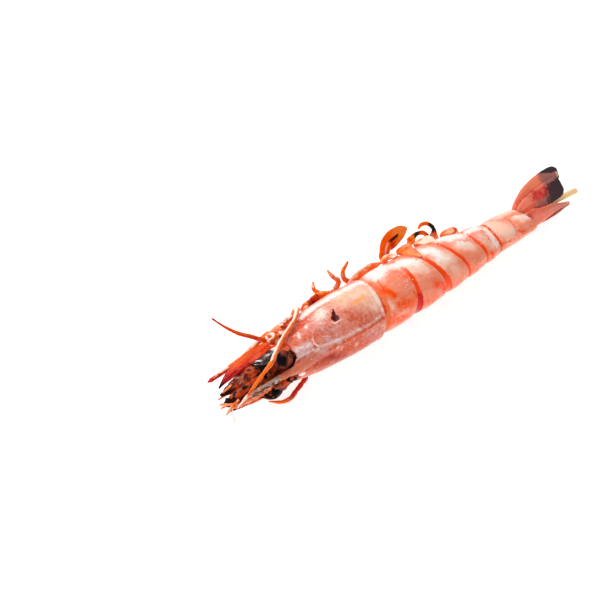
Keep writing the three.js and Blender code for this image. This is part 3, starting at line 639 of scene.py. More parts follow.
# %% Form of the tail rings
GAP, RIM, CUP, NECK_PLAY, BULGE, BELLY_HOLLOW = 0.3, 0.6, 3.0, 0.9, 0.3, 3.2
FIRST_NECK_DEPTH = 0.6
KEEL, FIRST_KEELED = 0.45, 3
HEAD_REAR = around(-14.5, -14.2, -11.5, -10)
RINGS = [
    {"rear": (2.2, 4.1, 6.0, 8.4), "neck": (3.0, 3.2, 4.5, 5.0), "hollow": BELLY_HOLLOW},
    {"rear": (21.3, 20.3, 17.4, 17.8), "neck": (4.4, 2.2, 1.6, 1.4), "hollow": BELLY_HOLLOW},
    {"rear": (35.6, 34.6, 30.6, 31.0), "neck": (4.2, 2.6, 2.0, 1.8), "hollow": BELLY_HOLLOW},
    {"rear": (47.2, 47.0, 45.8, 47.4), "neck": (1.7, 1.5, 1.8, 1.6), "hollow": BELLY_HOLLOW},
    {"rear": (57.5, 56.8, 57.4, 59.8), "neck": (1.6, 1.6, 2.0, 2.0), "hollow": BELLY_HOLLOW * 0.8},
    {"rear": (81.4, 80.6, 78.8, 79.0), "neck": (1.2, 1.2, 1.3, 1.3), "hollow": 0.0},
]
RING_SIDES = 240
RING_TURNS = -180 + 360 * np.arange(RING_SIDES) / RING_SIDES


def tail_point(x, degrees, inset, hollow, flap):
    """A point on the tail at an angle from the back, sunk in by inset."""
    upward = np.cos(np.radians(degrees))
    down = upward < 0
    depth = np.where(down, TAIL_BELLY(x) - flap, TAIL_BACK(x)) - inset
    reach = np.where(down, -depth * np.abs(upward) ** 0.85, depth * upward)
    widen = 6 * np.maximum(inset, 0)
    reach = reach + hollow * ramp(np.abs(degrees), 142 - widen, 156 - widen)
    return at(x, reach, (TAIL_SIDE(x) - inset) * np.sin(np.radians(degrees)))


def through(rows, steps):
    """Smooth rows between the given ones, with steps[i] new rows from row i to the next."""
    rows = np.array(rows, float)
    slopes = np.gradient(rows, axis=0)
    places = np.concatenate([i + np.arange(n) / n for i, n in enumerate(steps)] + [[len(steps)]])
    i = np.minimum(places.astype(int), len(steps) - 1)
    t = (places - i)[:, None]
    rise = t * t * (3 - 2 * t)
    return (rows[i] + (rows[i + 1] - rows[i]) * rise + t * (1 - t) ** 2 * slopes[i]
            + t * t * (t - 1) * slopes[i + 1]), places


print("tail rings:", len(RINGS))

# %% [markdown]
# The strokes of each ring follow the grilled animal: orange to deep red skin on the
# necks, dry salt and a painted highlight as pale patches on the upper flank, broad orange
# strokes of painted shade low on the left flank, which is turned from the key lamp, and
# a thin light line along the rear edge where the shell is thinnest.

# %% Colours of the tail rings
# For each ring, the strokes of each mask: strength, width in millimetres and path.
# The pale strokes on the upper right flank are salt and a painted highlight.
RING_STROKES = [
    {
        "pale": [(0.9, 3.0, [(-3, 104), (-4, 84), (3, 96), (6, 84)])],
        "amber": [
            (1.2, 2.0, [(-8.8, 82), (-8.8, 70), (-8.2, 56), (-7.8, 44)]),
            (0.8, 2.2, [(-7.4, 44), (-6.4, 28)]), (0.6, 1.8, [(-12.4, 34), (-11.8, 10), (-12.6, -8)]),
            (0.6, 3.4, [(-4.3, 4), (0, -4), (4, 2)]),
        ],
        "warm": [
            (0.9, 1.1, [(-8.4, 64), (-7.8, 46), (-6.8, 34), (-6.0, 26)]),
            (1.3, 1.3, [(-12.8, 44), (-12.7, 24), (-12.6, 8)]), (0.6, 2.8, [(-5, 4), (-2, 0), (1, -5)]),
            # Painted shade: the warm stroke at -18 to -32 degrees, on the left flank.
            (0.5, 1.6, [(3.6, 2), (4.8, 30), (5.0, 48)]), (0.5, 3.0, [(-10, -18), (-2, -32)]),
        ],
        "cream": [(0.8, 1.3, [(-10.8, 28), (-9.4, 8)]), (0.5, 1.2, [(-7, -14), (-2, -16)])],
    },
    {
        "pale": [(1.0, 2.8, [(8.6, 90), (11, 78), (13.4, 68)])],
        "cream": [(0.95, 3.0, [(8.6, 58), (13.8, 48)])],
        # Painted shade: the warm stroke from x 6 to 14 at -20 to -30 degrees, on the left flank.
        "warm": [(0.8, 2.2, [(20.2, -26), (18.6, -2), (15.4, 4)]), (0.45, 3.5, [(6, -20), (14, -30)])],
        "deep": [(0.4, 1.2, [(19.6, -18)])],
    },
    {
        "pale": [(0.95, 3.0, [(20.6, 88), (24.6, 78), (24.4, 62)]), (0.6, 2.0, [(22.6, 52), (26, 44)])],
        "cream": [(0.95, 4.0, [(22, 40), (27, 44)]), (0.55, 3.0, [(26, 22), (28, 10)])],
        # Painted shade: this warm stroke on the left flank.
        "warm": [(0.4, 3.0, [(30, -24), (24, -40)])],
    },
    {
        "pale": [(1.0, 3.4, [(35, 106), (38, 92), (43, 88)]), (0.5, 2.0, [(38, 64), (42, 54)])],
        "cream": [(0.85, 3.0, [(37, 58), (42, 44)])],
        # Painted shade: this warm stroke on the left flank.
        "warm": [(0.4, 2.5, [(38, -12), (44, -24)])],
    },
    {
        "pale": [
            (0.62, 1.7, [(57.2, 84), (55.6, 56), (54.8, 31), (54.8, 12)]),
            (0.8, 3.0, [(50, 98), (55, 94)]),
        ],
        "mauve": [(0.4, 3.0, [(50, 70), (52, 40)])],
        "cream": [(0.7, 3.0, [(50, 66), (53, 20)])],
        "warm": [
            (0.8, 0.8, [(52.6, 44)]), (0.5, 1.2, [(50, 84), (47.8, 60)]),
            (0.55, 1.4, [(50, 10), (52, -20)]), (0.7, 0.8, [(57.3, 88), (56, 76)]),
        ],
    },
    {
        "cream": [
            (1.0, 5.0, [(60, 100), (62.4, 66), (64.5, 34)]), (0.9, 3.0, [(70, 104), (79, 105)]),
            (0.85, 2.6, [(74.0, 66), (75, 48)]),
        ],
        # A painted highlight on the swelling where the fan is hinged.
        "pale": [(0.55, 1.8, [(74.7, 64), (77.6, 56), (78.2, 40)])],
        "warm": [
            (0.42, 2.4, [(71.5, 9), (70.6, 22)]), (0.45, 1.2, [(58, 8), (66, 0), (75, -12), (80, -12)]),
            (0.4, 0.9, [(71, 76), (69.6, 47), (68.8, 22)]),
            (0.4, 0.9, [(73, 77), (77, 84), (79.6, 70), (80, 40)]),
        ],
        "deep": [(0.3, 1.4, [(71.5, 9)])],
    },
]
NECK_COLOURS = [
    ("amber", 0.62), ("warm", 1.5), ("warm", 1.5), ("warm", 1.3), ("warm", 1.2), ("warm", 0.8),
]
DARK_NECKS = {1: ("deep", 1.2)}
print("strokes on the tail:", sum(len(lines) for strokes in RING_STROKES for lines in strokes.values()))

# %% Tail rings
# The swollen end of the last ring, where the fan is hinged: a crease, a swelling and a keel.
FAN_JOINT = [
    (-0.45, 0.8, [(71.5, 84), (69.8, 47), (68.8, 10)]), (0.7, 2.6, [(75, 58), (76, 34)]),
    (0.35, 0.8, [(60, 16), (66, 7), (75, -6), (80, -8)]),
]


def tail_ring(index):
    """One ring of the tail, from its hidden neck to the inside of its cup."""
    form, ahead = RINGS[index], RINGS[max(index - 1, 0)]
    turn = RING_TURNS
    front = around(*ahead["rear"])(turn) if index else HEAD_REAR(turn)
    neck, rear = around(*form["neck"])(turn), around(*form["rear"])(turn)
    sunk = RIM + GAP + (0 if index else FIRST_NECK_DEPTH)
    profile = [
        (front - CUP + NECK_PLAY, sunk + 0.5), (front - CUP + NECK_PLAY + 0.6, sunk), (front, sunk),
        (front + neck * 0.9, sunk * 0.7), (front + neck + 1.1, 0.08), ((front + neck + rear) / 2, -BULGE),
        (rear - 1.5, 0.0), (rear - 0.2, 0.05), (rear, 0.35), (rear - 0.15, RIM), (rear - CUP, RIM),
    ]
    steps = [3, 6, 10, 8, 22, 22, 6, 4, 4, 4]
    x, places = through([place for place, _ in profile], steps)
    inset, _ = through([np.full(RING_SIDES, depth) for _, depth in profile], steps)
    start = front + neck
    along = np.clip((x - start) / (rear - start), 0, 1)
    flap = 1.3 * np.abs(2 * along - 1) ** 3
    ridge = (KEEL if index >= FIRST_KEELED else 0) * bell(turn, 0, 10) * ramp(along, 0, 0.2)
    hollow = ahead["hollow"] + (form["hollow"] - ahead["hollow"]) * ramp(places, 2, 3)[:, None]
    points = tail_point(x, turn, inset - ridge, hollow, flap)
    outside = (ramp(places, 2.0, 3.5) * (1 - ramp(places, 7.0, 8.0)))[:, None]
    rough = 0.10 * bumps(points, 7.0, index) + 0.05 * bumps(points, 2.2, index + 9)
    lip = 0.10 * (bell(rear - x, 0.5, 0.5) - bell(rear - x, 1.7, 0.5))
    height = outside * (rough + lip)
    if index == len(RINGS) - 1:
        joint = sum(depth * stroke(x, turn, path, width) for depth, width, path in FAN_JOINT)
        height = height + outside * joint
    points = relief(points, height)
    points[..., 2] = np.maximum(points[..., 2], np.maximum(inset, 0) * MM)
    masks = paint(x, turn, RING_STROKES[index])
    mask, strength = NECK_COLOURS[index]
    bare = strength * (1 - ramp((x - front) / neck, 0.8, 1.5))
    lay(masks, mask, bare)
    if index in DARK_NECKS:
        mask, strength = DARK_NECKS[index]
        lay(masks, mask, strength * bare * ramp(-turn, -14, 8))
    lay(masks, "pale", 0.16 * bell(rear - x, 0.2, 0.5) * (np.abs(turn) < 110))
    return ring_piece(f"tail_ring_{index + 1}", points, masks, tail_shell, f"tail_plate_{index + 1}")


for index in range(len(RINGS)):
    tell(tail_ring(index))


# %% [markdown]
# The head shell is a saddle: a thin curved sheet that hangs over both flanks and is open
# below. Its outer and inner sheets run together in a rounded rim, so the thickness fades
# to nothing at every border. A low keel runs along the back between two grooves, and the
# lower hem is rolled.

# %% Form of the head shell
SHELL = 0.9
SADDLE = 118
HEAD_FRONT = smooth([
    (-118, -43), (-95, -50), (-75, -56), (-50, -58.8), (-28, -60.2), (-12, -62.5), (0, -64),
    (12, -61), (28, -57.9), (50, -57.6), (75, -56), (95, -50), (118, -43),
])


def head_point(x, degrees, inset, swell):
    """A point on the head shell, under its surface by inset and raised by swell."""
    turn = np.radians(degrees)
    depth = np.where(np.cos(turn) < 0, HEAD_BELLY(x), HEAD_BACK(x)) - inset
    ridge = 0.7 * bell(degrees, 0, 7) * ramp(-x, 18, 40)
    groove = -0.35 * bell(np.abs(degrees), 15, 6) * ramp(-x, 24, 44)
    hem = 0.35 * ramp(np.abs(degrees), SADDLE - 9, SADDLE - 2)
    extra = swell + (inset < SHELL / 2) * (ridge + groove + hem)
    points = at(x, (depth + extra) * np.cos(turn), (HEAD_SIDE(x) - inset + extra) * np.sin(turn))
    points[..., 2] = np.maximum(points[..., 2], np.maximum(inset, 0) * MM)
    return points


# Raised lines and creases: height, width and path.
HEAD_LINES = [
    (0.22, 0.5, [(-48.2, 38), (-48.9, 28), (-47.6, 18)]), (-0.25, 1.0, [(-59, 56), (-52, 74), (-46, 94)]),
    (-0.18, 0.9, [(-47, 84), (-42, 68), (-39, 47)]), (-0.35, 1.1, [(-34.6, 45), (-33.2, 54)]),
    (0.18, 0.7, [(-37.4, 43), (-35.6, 36), (-32.6, 40)]),
]
print("the head shell spans", 2 * SADDLE, "degrees")

# %% [markdown]
# Heat coloured the head shell unevenly. Orange gathers along its creases and its front
# border, dry skin, salt and a painted highlight leave pale patches low on the flank, and
# one spot behind the cheek is burnt black with an orange splash after it. Broad orange and
# deep red strokes over the left flank, which is turned from the key lamp, are painted shade.

# %% Strokes on the head shell
# For each mask, strokes: strength, width in millimetres and path.
HEAD_STROKES = {
    "cream": [
        (0.66, 7.0, [(-24, 78), (-17, 64)]), (0.5, 4.4, [(-19.5, 54), (-18.5, 36)]),
        (0.55, 3.0, [(-35, 80), (-38, 66)]), (0.6, 2.0, [(-14, 60), (-16.5, 24)]),
    ],
    "pale": [
        # Salt and a painted highlight along the flank that faces upwards.
        (1.0, 2.0, [(-42, 99), (-35, 102), (-29, 99), (-23, 96), (-16, 93), (-12, 89)]),
        (0.5, 0.8, [(-11.6, 80), (-11.9, 68), (-14.0, 38), (-14.8, 12)]),
        (0.45, 1.1, [(-61, 27), (-54, 20), (-47, 14)]),
        (0.42, 0.8, [(-47, 14), (-39.5, 8.5), (-30, 5), (-21, 4.5), (-15, 5)]),
        (0.55, 2.6, [(-40, 63), (-36, 75)]), (0.7, 0.8, [(-46.4, 66), (-45.6, 68)]),
        (0.5, 0.9, [(-52, 69)]), (0.45, 1.5, [(-56, 40), (-51, 31)]),
        (0.8, 0.32, [(-48.2, 38), (-48.9, 28), (-47.6, 18)]),
        (0.6, 0.4, [(-37, 43), (-36.4, 38), (-33.4, 38)]), (0.5, 0.35, [(-44, 30), (-41, 22)]),
        (0.45, 0.9, [(-40.2, -4)]), (0.5, 1.1, [(-30.5, -24)]), (1.0, 1.2, [(-60.4, -25), (-57.2, -27)]),
        (0.7, 0.8, [(-51.6, 58), (-50.6, 66)]),
    ],
    "mauve": [
        (0.75, 1.0, [(-43, 19), (-40.5, 12), (-38.5, 5)]), (0.7, 3.0, [(-58.6, 33), (-52.7, 28)]),
        (0.35, 3.0, [(-24, -20), (-16, -26)]), (0.6, 1.8, [(-56, 10), (-46, 3)]),
        (0.3, 2.4, [(-44, 50), (-38, 26)]),
    ],
    "warm": [
        (0.8, 0.9, [(-60, 39), (-53, 26), (-48, 22)]),
        (1.1, 2.0, [(-60, 54), (-55, 62), (-50, 71), (-45, 84), (-42, 94)]),
        (0.6, 1.0, [(-47, 86), (-42, 70), (-39, 55)]), (0.6, 0.8, [(-42.5, 84), (-35, 90)]),
        (0.9, 0.8, [(-61, 12), (-55, 15), (-48, 18)]),
        (0.9, 0.8, [(-46, 0), (-35, -2), (-23, -2), (-15.5, -1)]),
        # Painted shade: the next broad stroke, over the left flank turned from the key lamp.
        (0.7, 7.0, [(-55, -14), (-36, -26), (-20, -44)]),
        (0.45, 3.4, [(-28.4, 30), (-26, 18), (-21.6, 13)]), (0.36, 2.6, [(-28.6, 44), (-28.6, 20)]),
        (0.8, 1.6, [(-54.8, 80), (-51, 70), (-47, 80)]), (0.55, 2.6, [(-54, 56), (-46, 42), (-40, 34)]),
        (0.5, 1.6, [(-58, 64), (-54, 70)]), (0.8, 1.0, [(-27, 9), (-21.6, 4), (-15.8, 3)]),
    ],
    "deep": [
        (0.4, 0.8, [(-20, 2), (-15.8, 2)]), (0.55, 2.4, [(-58, -8), (-46, -14), (-36, -40)]),
        # Painted shade: the next broad stroke, low on the left flank.
        (0.35, 5.0, [(-46, -40), (-24, -60)]),
    ],
    "char": [
        (12.0, 0.8, [(-34.7, 46.5), (-34.1, 46.8)]), (5.0, 0.5, [(-34.2, 50), (-33.2, 57)]),
        (1.2, 0.3, [(-32.8, 58), (-32.1, 64)]), (1.2, 1.5, [(-62.6, -12), (-61, -20)]),
        (0.9, 0.7, [(-58.4, 26), (-58.4, 48)]),
    ],
    "amber": [
        (0.66, 1.0, [(-24.0, 51), (-21.0, 52), (-18.6, 53)]), (0.62, 0.8, [(-18.6, 53), (-18.6, 42)]),
        (0.6, 0.7, [(-18.6, 53), (-17.8, 58)]), (0.32, 1.4, [(-27, 70), (-21, 76)]),
    ],
}
print("strokes on the head shell:", sum(len(lines) for lines in HEAD_STROKES.values()))

# %% [markdown]
# The saddle is made of two sheets of one lattice. The lines and waves raise the outer one
# alone, and they fade towards the rim, so that the sheets still meet there.

# %% Head shell
HEAD_ROWS, HEAD_COLUMNS = 150, 230
RIM_ROUNDING = 0.6
INNER_PAINT = 0.3
share = np.linspace(0, 1, HEAD_ROWS)[:, None]
turn = SADDLE * np.linspace(-1, 1, HEAD_COLUMNS)[None, :]
front_edge, rear_edge = HEAD_FRONT(turn), HEAD_REAR(turn)
x = front_edge + (rear_edge - front_edge) * share
border = np.minimum(np.minimum(x - front_edge, rear_edge - x), (SADDLE - np.abs(turn)) * MM_PER_DEGREE)
fullness = np.sqrt(1 - (1 - np.clip(border / RIM_ROUNDING, 0, 1)) ** 2)
sheet = head_point(x, turn, SHELL / 2 * (1 - fullness), 0)
lip = 0.16 * (bell(rear_edge - x, 0.7, 0.6) - bell(rear_edge - x, 2.2, 0.6))
lines = sum(height * stroke(x, turn, path, width) for height, width, path in HEAD_LINES)
waves = 0.13 * bumps(sheet, 8.0, 3) + 0.06 * bumps(sheet, 2.6, 4) + 0.03 * bumps(sheet, 0.9, 5)
outer = head_point(x, turn, SHELL / 2 * (1 - fullness), fullness * (lip + lines + waves))
inner = head_point(x, turn, SHELL / 2 * (1 + fullness), 0)

masks = {}
for mask, values in paint(x, turn, HEAD_STROKES).items():
    masks[mask] = np.concatenate([values.ravel(), INNER_PAINT * values.ravel()])
outer_faces = lattice_faces(HEAD_ROWS, HEAD_COLUMNS, closed=False)
inner_faces = lattice_faces(HEAD_ROWS, HEAD_COLUMNS, closed=False, flipped=True)
faces = np.concatenate([outer_faces, inner_faces + HEAD_ROWS * HEAD_COLUMNS])
points = np.concatenate([outer.reshape(-1, 3), inner.reshape(-1, 3)])
if volume(points - points.mean(axis=0), faces) < 0:
    faces = faces[:, ::-1]
head = make_piece("head_shell", points, faces, masks, head_shell, "carapace")
# The two sheets meet along the rim, where their points lie on each other.
weld = head.modifiers.new("weld", "WELD")
weld.merge_threshold = 0.00002
tell(head)

# %% [markdown]
# Between the eyes the keel runs out into the rostrum, a thin blade with teeth on its
# upper edge. Fire has dulled its front to a grey horn colour. It is a loft of
# lens-shaped sections, each tooth a slow rise and a quick fall of the upper edge.

# %% Rostrum
ROSTRUM_TIP = -92.0
ROSTRUM_TEETH = 7
TEETH_FROM, TEETH_TO = -56.0, -84.0
TOOTH_HEIGHT = 0.75
BLADE_ROWS, BLADE_SIDES = 260, 32
rostrum_top = smooth([(-50, 12.2), (-62, 12.2), (-72, 11.4), (-82, 10.4), (ROSTRUM_TIP, 12.9)])
rostrum_under = smooth([(-50, 11.5), (-60, 10.8), (-65, 9.3), (-74, 8.4), (-84, 8.4), (ROSTRUM_TIP, 12.4)])
rostrum_half = smooth([(-50, 1.6), (-58, 2.1), (-65, 1.4), (-72, 0.9), (-82, 0.6), (ROSTRUM_TIP, 0.12)])
x = np.linspace(-50, ROSTRUM_TIP, BLADE_ROWS)[:, None]
turn = np.radians(np.arange(BLADE_SIDES) * 360 / BLADE_SIDES)[None, :]
upward = np.cos(turn)
along = (x - TEETH_FROM) / (TEETH_TO - TEETH_FROM) * ROSTRUM_TEETH
part = along % 1
rise_and_fall = np.where(part < 0.82, ramp(part, 0.1, 0.72), 1 - ramp(part, 0.82, 0.97))
tooth = TOOTH_HEIGHT * rise_and_fall * ((along >= 0) & (along < ROSTRUM_TEETH))
top, under = rostrum_top(x) + tooth, rostrum_under(x)
middle = under + (top - under) * 0.4
height = np.where(upward > 0, top - middle, middle - under) * upward
width = rostrum_half(x) * np.sin(turn) * (1 - 0.35 * np.clip(upward, 0, 1))
blade = at(x, middle + height, width)
blade = relief(blade, 0.06 * bumps(blade, 1.6, 2) + 0.04 * bumps(blade, 0.6, 8))
masks = {
    "warm": 0.8 * ramp(x, -66, -62) * (upward > 0.2) + 0.5 * ramp(-x, 84, 90),
    "mauve": 1.0 * ramp(x, -71, -66) + 0.9 * ramp(-x, 80, 85),
    "cream": 0.6 * bell(x, -75, 5) * ramp(-upward, -0.5, 0.3),
    "deep": 0.8 * (upward > 0.75) * ramp(-x, 60, 66),
    "pale": 0.5 * ramp(bumps(blade, 2.5, 9), 0.25, 0.5) * ramp(-x, 66, 70),
    "char": 0.9 * ramp(-upward, 0.2, 0.8) * bell(x, -74, 7),
}
rostrum = ring_piece("rostrum", blade, masks, blade_grey, "carapace")
print(rostrum.name, "with", ROSTRUM_TEETH, "teeth")

# %% [markdown]
# Under the shell lies the body itself. Little of it shows: the face between the feelers,
# and the floor between the legs.

# %% Body under the head shell
CORE_FRONT = -58.0
STERNUM = 11.8
turn = RING_TURNS[None, :]
share = np.linspace(0, 1, 90)[:, None]
rear = HEAD_REAR(turn) - CUP - GAP
x = CORE_FRONT + (rear - CORE_FRONT) * share
closing = 1 - 0.15 * (1 - ramp(share, 0, 0.06))
depth = np.where(np.cos(np.radians(turn)) < 0, CORE_BELLY(x), CORE_BACK(x)) * closing
reach = np.maximum(depth * np.cos(np.radians(turn)), -STERNUM)
core = at(x, reach, CORE_SIDE(x) * closing * np.sin(np.radians(turn)))
core[..., 2] = np.maximum(core[..., 2], (SHELL + GAP) * MM)
core = relief(core, 0.25 * bumps(core, 3.0, 6) - 0.2)
masks = {"char": 0.9 * (1 - ramp(x, -58, -52)) * (np.abs(turn) < 70), "warm": 0.5}
body = ring_piece("body_under_shell", core, masks, flesh, "thorax")
tell(body)


# %% [markdown]
# Legs, feelers, eyes and fan blades are all limbs: a curved rail, and along it an ellipse
# that is wide in one direction and thin in the other. The rail is a Catmull-Rom curve,
# which passes through every station, so each station of a table is a place where the
# limb really is.

# %% Limbs along a rail


def rail(stations, steps):
    """Points of a smooth curve through the stations, and how far along it each lies."""
    stations = np.array(stations, float)
    knots = np.vstack([2 * stations[0] - stations[1], stations, 2 * stations[-1] - stations[-2]])
    gaps = np.maximum(np.sqrt(np.linalg.norm(np.diff(knots, axis=0), axis=1)), 1e-6)
    t = np.linspace(0, len(stations) - 1, steps)
    i = np.minimum(t.astype(int), len(stations) - 2)
    f = (t - i)[:, None]
    p0, p1, p2, p3 = (knots[i + k] for k in range(4))
    d0, d1, d2 = (gaps[i + k][:, None] for k in range(3))
    leave = ((p1 - p0) / d0 - (p2 - p0) / (d0 + d1) + (p2 - p1) / d1) * d1
    arrive = ((p2 - p1) / d1 - (p3 - p1) / (d1 + d2) + (p3 - p2) / d2) * d1
    a = 2 * p1 - 2 * p2 + leave + arrive
    b = -3 * p1 + 3 * p2 - 2 * leave - arrive
    return ((a * f + b) * f + leave) * f + p1, t


def along_sizes(values, t):
    """Station values spread along the rail, level at each station."""
    return smooth(list(enumerate(values)))(t)


def limb_points(stations, half_wide, half_thick, wide, steps, sides):
    """Rings round a rail, with half sizes in millimetres at each station."""
    points, t = rail(stations, steps)
    ahead = np.gradient(points, axis=0)
    ahead /= np.linalg.norm(ahead, axis=1, keepdims=True)
    across = wide - (ahead @ wide)[:, None] * ahead
    across /= np.linalg.norm(across, axis=1, keepdims=True)
    upward = np.cross(ahead, across)
    turn = np.arange(sides) * 2 * np.pi / sides
    a = along_sizes(half_wide, t)[:, None] * MM
    b = along_sizes(half_thick, t)[:, None] * MM
    cos, sin = (np.cos(turn) * a)[..., None], (np.sin(turn) * b)[..., None]
    return points[:, None] + across[:, None] * cos + upward[:, None] * sin, t[:, None], turn[None, :]


def direction(x, dx, back, right):
    """A direction given as steps along x, back and right at the place x."""
    way = at(x, back, right) - at(x, 0, 0) + np.array([dx * MM, 0, 0])
    return way / np.linalg.norm(way)


def body_limb(rows, wide, steps, sides, widen=1.0, thicken=1.0):
    """Rings round a limb told by rows [x, back, right, half wide, half thick]."""
    places = [at(*row[:3]) for row in rows]
    half_wide, half_thick = np.array([(row[3], row[-1]) for row in rows]).T
    return limb_points(places, half_wide * widen, half_thick * thicken, direction(*wide), steps, sides)


def knots_mask(t, spots):
    """1 at places along a limb, fading over a width: spots of (place, width, strength)."""
    cover = 0 * t
    for place, width, strength in spots:
        cover = np.maximum(cover, strength * bell(t, place, width))
    return cover


def topside(points):
    """How far the skin looks upwards: 1 on top, 0 on a wall, negative below."""
    return normals(points, True)[..., 2]


def body_x(points):
    """The body coordinate x of points, in millimetres."""
    return (points[..., 0] - frame_shift[0]) / MM


def flakes(points, height, size, seed):
    """Peeling, crackled relief: the ridges of two noises."""
    coarse = 1 - 2 * np.abs(bumps(points, size, seed))
    fine = 1 - 2 * np.abs(bumps(points, size * 0.4, seed + 3))
    return height * (0.65 * coarse + 0.35 * fine)


print("limb tools ready")

# %% [markdown]
# The head ends in a tangle. Two stalked eyes stand on either side of the rostrum. Below
# them the first feelers have burnt to flaky stubs, a grey membrane is left bare, and the
# scales of the second feelers are still bright orange.

# %% Eyes
EYES = {
    "eye_right": [[-58.6, 5.6, 3.2, 1.5], [-60.4, 6.9, 3.9, 2.2], [-62.6, 8.0, 4.6, 3.4],
                  [-64.9, 8.5, 4.8, 3.5], [-67.2, 8.7, 4.8, 2.4], [-68.2, 8.7, 4.8, 0.5]],
    "eye_left": [[-58.4, 4.4, -4.0, 2.0], [-62.5, 5.4, -4.7, 2.2], [-66.6, 6.4, -5.0, 2.3],
                 [-70.2, 7.1, -5.2, 3.0], [-73.2, 7.1, -5.0, 2.2], [-76.0, 6.7, -4.2, 0.9],
                 [-79.2, 6.4, -3.5, 0.3]],
}
PUPIL = at(-65.8, 11.0, 6.2)
PUPIL_RADIUS = 2.0
COLLAR = 1.75
for name, rows in EYES.items():
    points, t, turn = body_limb(rows, (-65, 0, 1, 0), steps=110, sides=72)
    globe = ramp(t, 1.4, 2.2)
    wrinkled = 0.22 * bumps(points, 1.3, 4) * (1 - 0.6 * globe) + 0.12 * bumps(points, 3.0, 5)
    points = relief(points, wrinkled + 0.30 * bell(t, COLLAR, 0.16) - 0.25 * globe)
    if name == "eye_right":
        dark = bell(np.linalg.norm(points - PUPIL, axis=-1) / MM, 0, PUPIL_RADIUS)
    else:
        dark = 0.8 * ramp(t, 2.0, 3.2) * ramp(bumps(points, 1.5, 9), -0.35, 0.0)
    brown = bumps(points, 2.2, 7)
    rim = 0.9 * ramp(brown, 0.05, 0.4) * (1 - ramp(t, 2.2, 3.0))
    masks = {
        "warm": rim + 0.4 * ramp(brown, 0.1, 0.5),
        "char": 1.5 * dark + 0.5 * ramp(-brown, 0.2, 0.5),
        "cream": 0.7 * ramp(bumps(points, 1.3, 17), 0.3, 0.55) * (1 - ramp(t, 1.8, 2.6)),
    }
    tell(ring_piece(name, points, masks, eye_black, name))

# %% Feeler scales
SCALES = {
    "scale_right": ((-74, -0.2, 0.93, -0.3), [
        [-61.4, -1.2, 8.4, 1.9, 0.6], [-66, -1.0, 8.4, 2.9, 0.6], [-74, -0.4, 8.0, 2.9, 0.5],
        [-83, 1.0, 7.1, 2.0, 0.45], [-90.4, 2.8, 5.9, 0.3, 0.25]]),
    "scale_left": ((-74, -0.1, 0.95, 0.3), [
        [-60.2, -0.5, -8.2, 2.0, 0.7], [-66, 0.6, -8.0, 2.9, 0.6], [-74, 1.6, -7.3, 2.8, 0.5],
        [-82, 1.8, -6.0, 1.9, 0.45], [-88, 2.2, -5.0, 0.3, 0.25]]),
}
for name, (wide, rows) in SCALES.items():
    points, t, turn = body_limb(rows, wide, steps=110, sides=72)
    side = np.cos(turn)
    keel = 0.30 * bell(side, 0.25, 0.14) - 0.14 * bell(side, -0.1, 0.1)
    points = relief(points, keel + 0.10 * bumps(points, 2.6, 1) + 0.04 * bumps(points, 0.9, 1))
    upper = -side if name == "scale_right" else side
    masks = {
        "warm": 1.1 * ramp(upper, -0.1, 0.5) * (1 - ramp(t, 2.2, 3.2)),
        "deep": 0.9 * ramp(-upper, 0.2, 0.9) * ramp(t, 1.4, 2.2) + 0.8 * ramp(t, 2.2, 3.3),
        "char": 1.1 * ramp(t, 3.4, 3.9),
        "cream": 0.8 * bell(upper, 0.75, 0.14) * bell(t, 3.1, 0.3),
    }
    tell(ring_piece(name, points, masks, feeler_shell, name))

# %% Burnt first feelers
# Each feeler: how stout it is, bands of painted shade given as x and width, where it lies beside the
# membrane, and its rows.
BURNT = {
    "antennule_right": (1.16, [(-70.4, 3.2)], [
        [-58.4, 1.4, 2.4, 1.9, 1.6], [-64, 1.8, 2.8, 2.3, 1.7], [-70, 2.8, 3.7, 2.5, 1.9],
        [-76, 3.6, 4.4, 2.6, 2.1], [-82, 3.9, 4.1, 2.2, 1.9], [-87.5, 3.8, 3.6, 1.3, 1.2],
        [-91, 3.6, 3.2, 0.35, 0.35]]),
    "antennule_left": (1.06, [], [
        [-58.4, 1.2, -1.9, 1.8, 1.7], [-64, 1.8, -1.6, 2.2, 1.9], [-71, 3.5, -1.0, 2.3, 2.1],
        [-78, 4.7, -0.6, 2.4, 2.2], [-85, 5.4, -0.4, 2.1, 2.1], [-90, 5.8, 0.2, 1.6, 1.6],
        [-92, 5.9, 0.4, 0.6, 0.6]]),
}
for seed, (name, (stout, painted_shade_spots, rows)) in enumerate(BURNT.items()):
    points, t, turn = body_limb(rows, (-74, 0, 1, 0), steps=190, sides=100, widen=stout, thicken=stout)
    joints = -0.35 * knots_mask(t, [(1.2, 0.07, 1), (2.4, 0.07, 1), (3.5, 0.06, 1)])
    peeling = flakes(points, 0.42, 2.6, seed) + 0.16 * bumps(points, 0.8, seed + 5)
    points = relief(points, peeling + joints - 0.1)
    crack, spot = bumps(points, 1.0, seed + 11, 2.0), bumps(points, 0.6, seed + 31, 1.6)
    tip = ramp(t, 4.3, 5.2)
    singed_and_shaded = 0.9 * tip * ramp(crack + 0.3, -0.2, 0.3) + 0.5 * ramp(-crack - 0.6 * spot, 0.1, 0.6)
    # Bands of painted shade in black, where the feeler lies beside the membrane; the rest is real burn.
    for place, width in painted_shade_spots:
        singed_and_shaded = singed_and_shaded + 1.2 * bell(body_x(points), place, width)
    masks = {
        "warm": 0.75 * ramp(crack + 0.4 * spot, 0.0, 0.5) * (1 - tip),
        "cream": 0.6 * ramp(spot, 0.30, 0.55) * (1 - tip),
        "char": singed_and_shaded,
        "deep": 0.8 * ramp(0.7 * spot - crack, 0.0, 0.5),
    }
    tell(ring_piece(name, points, masks, charred, name))

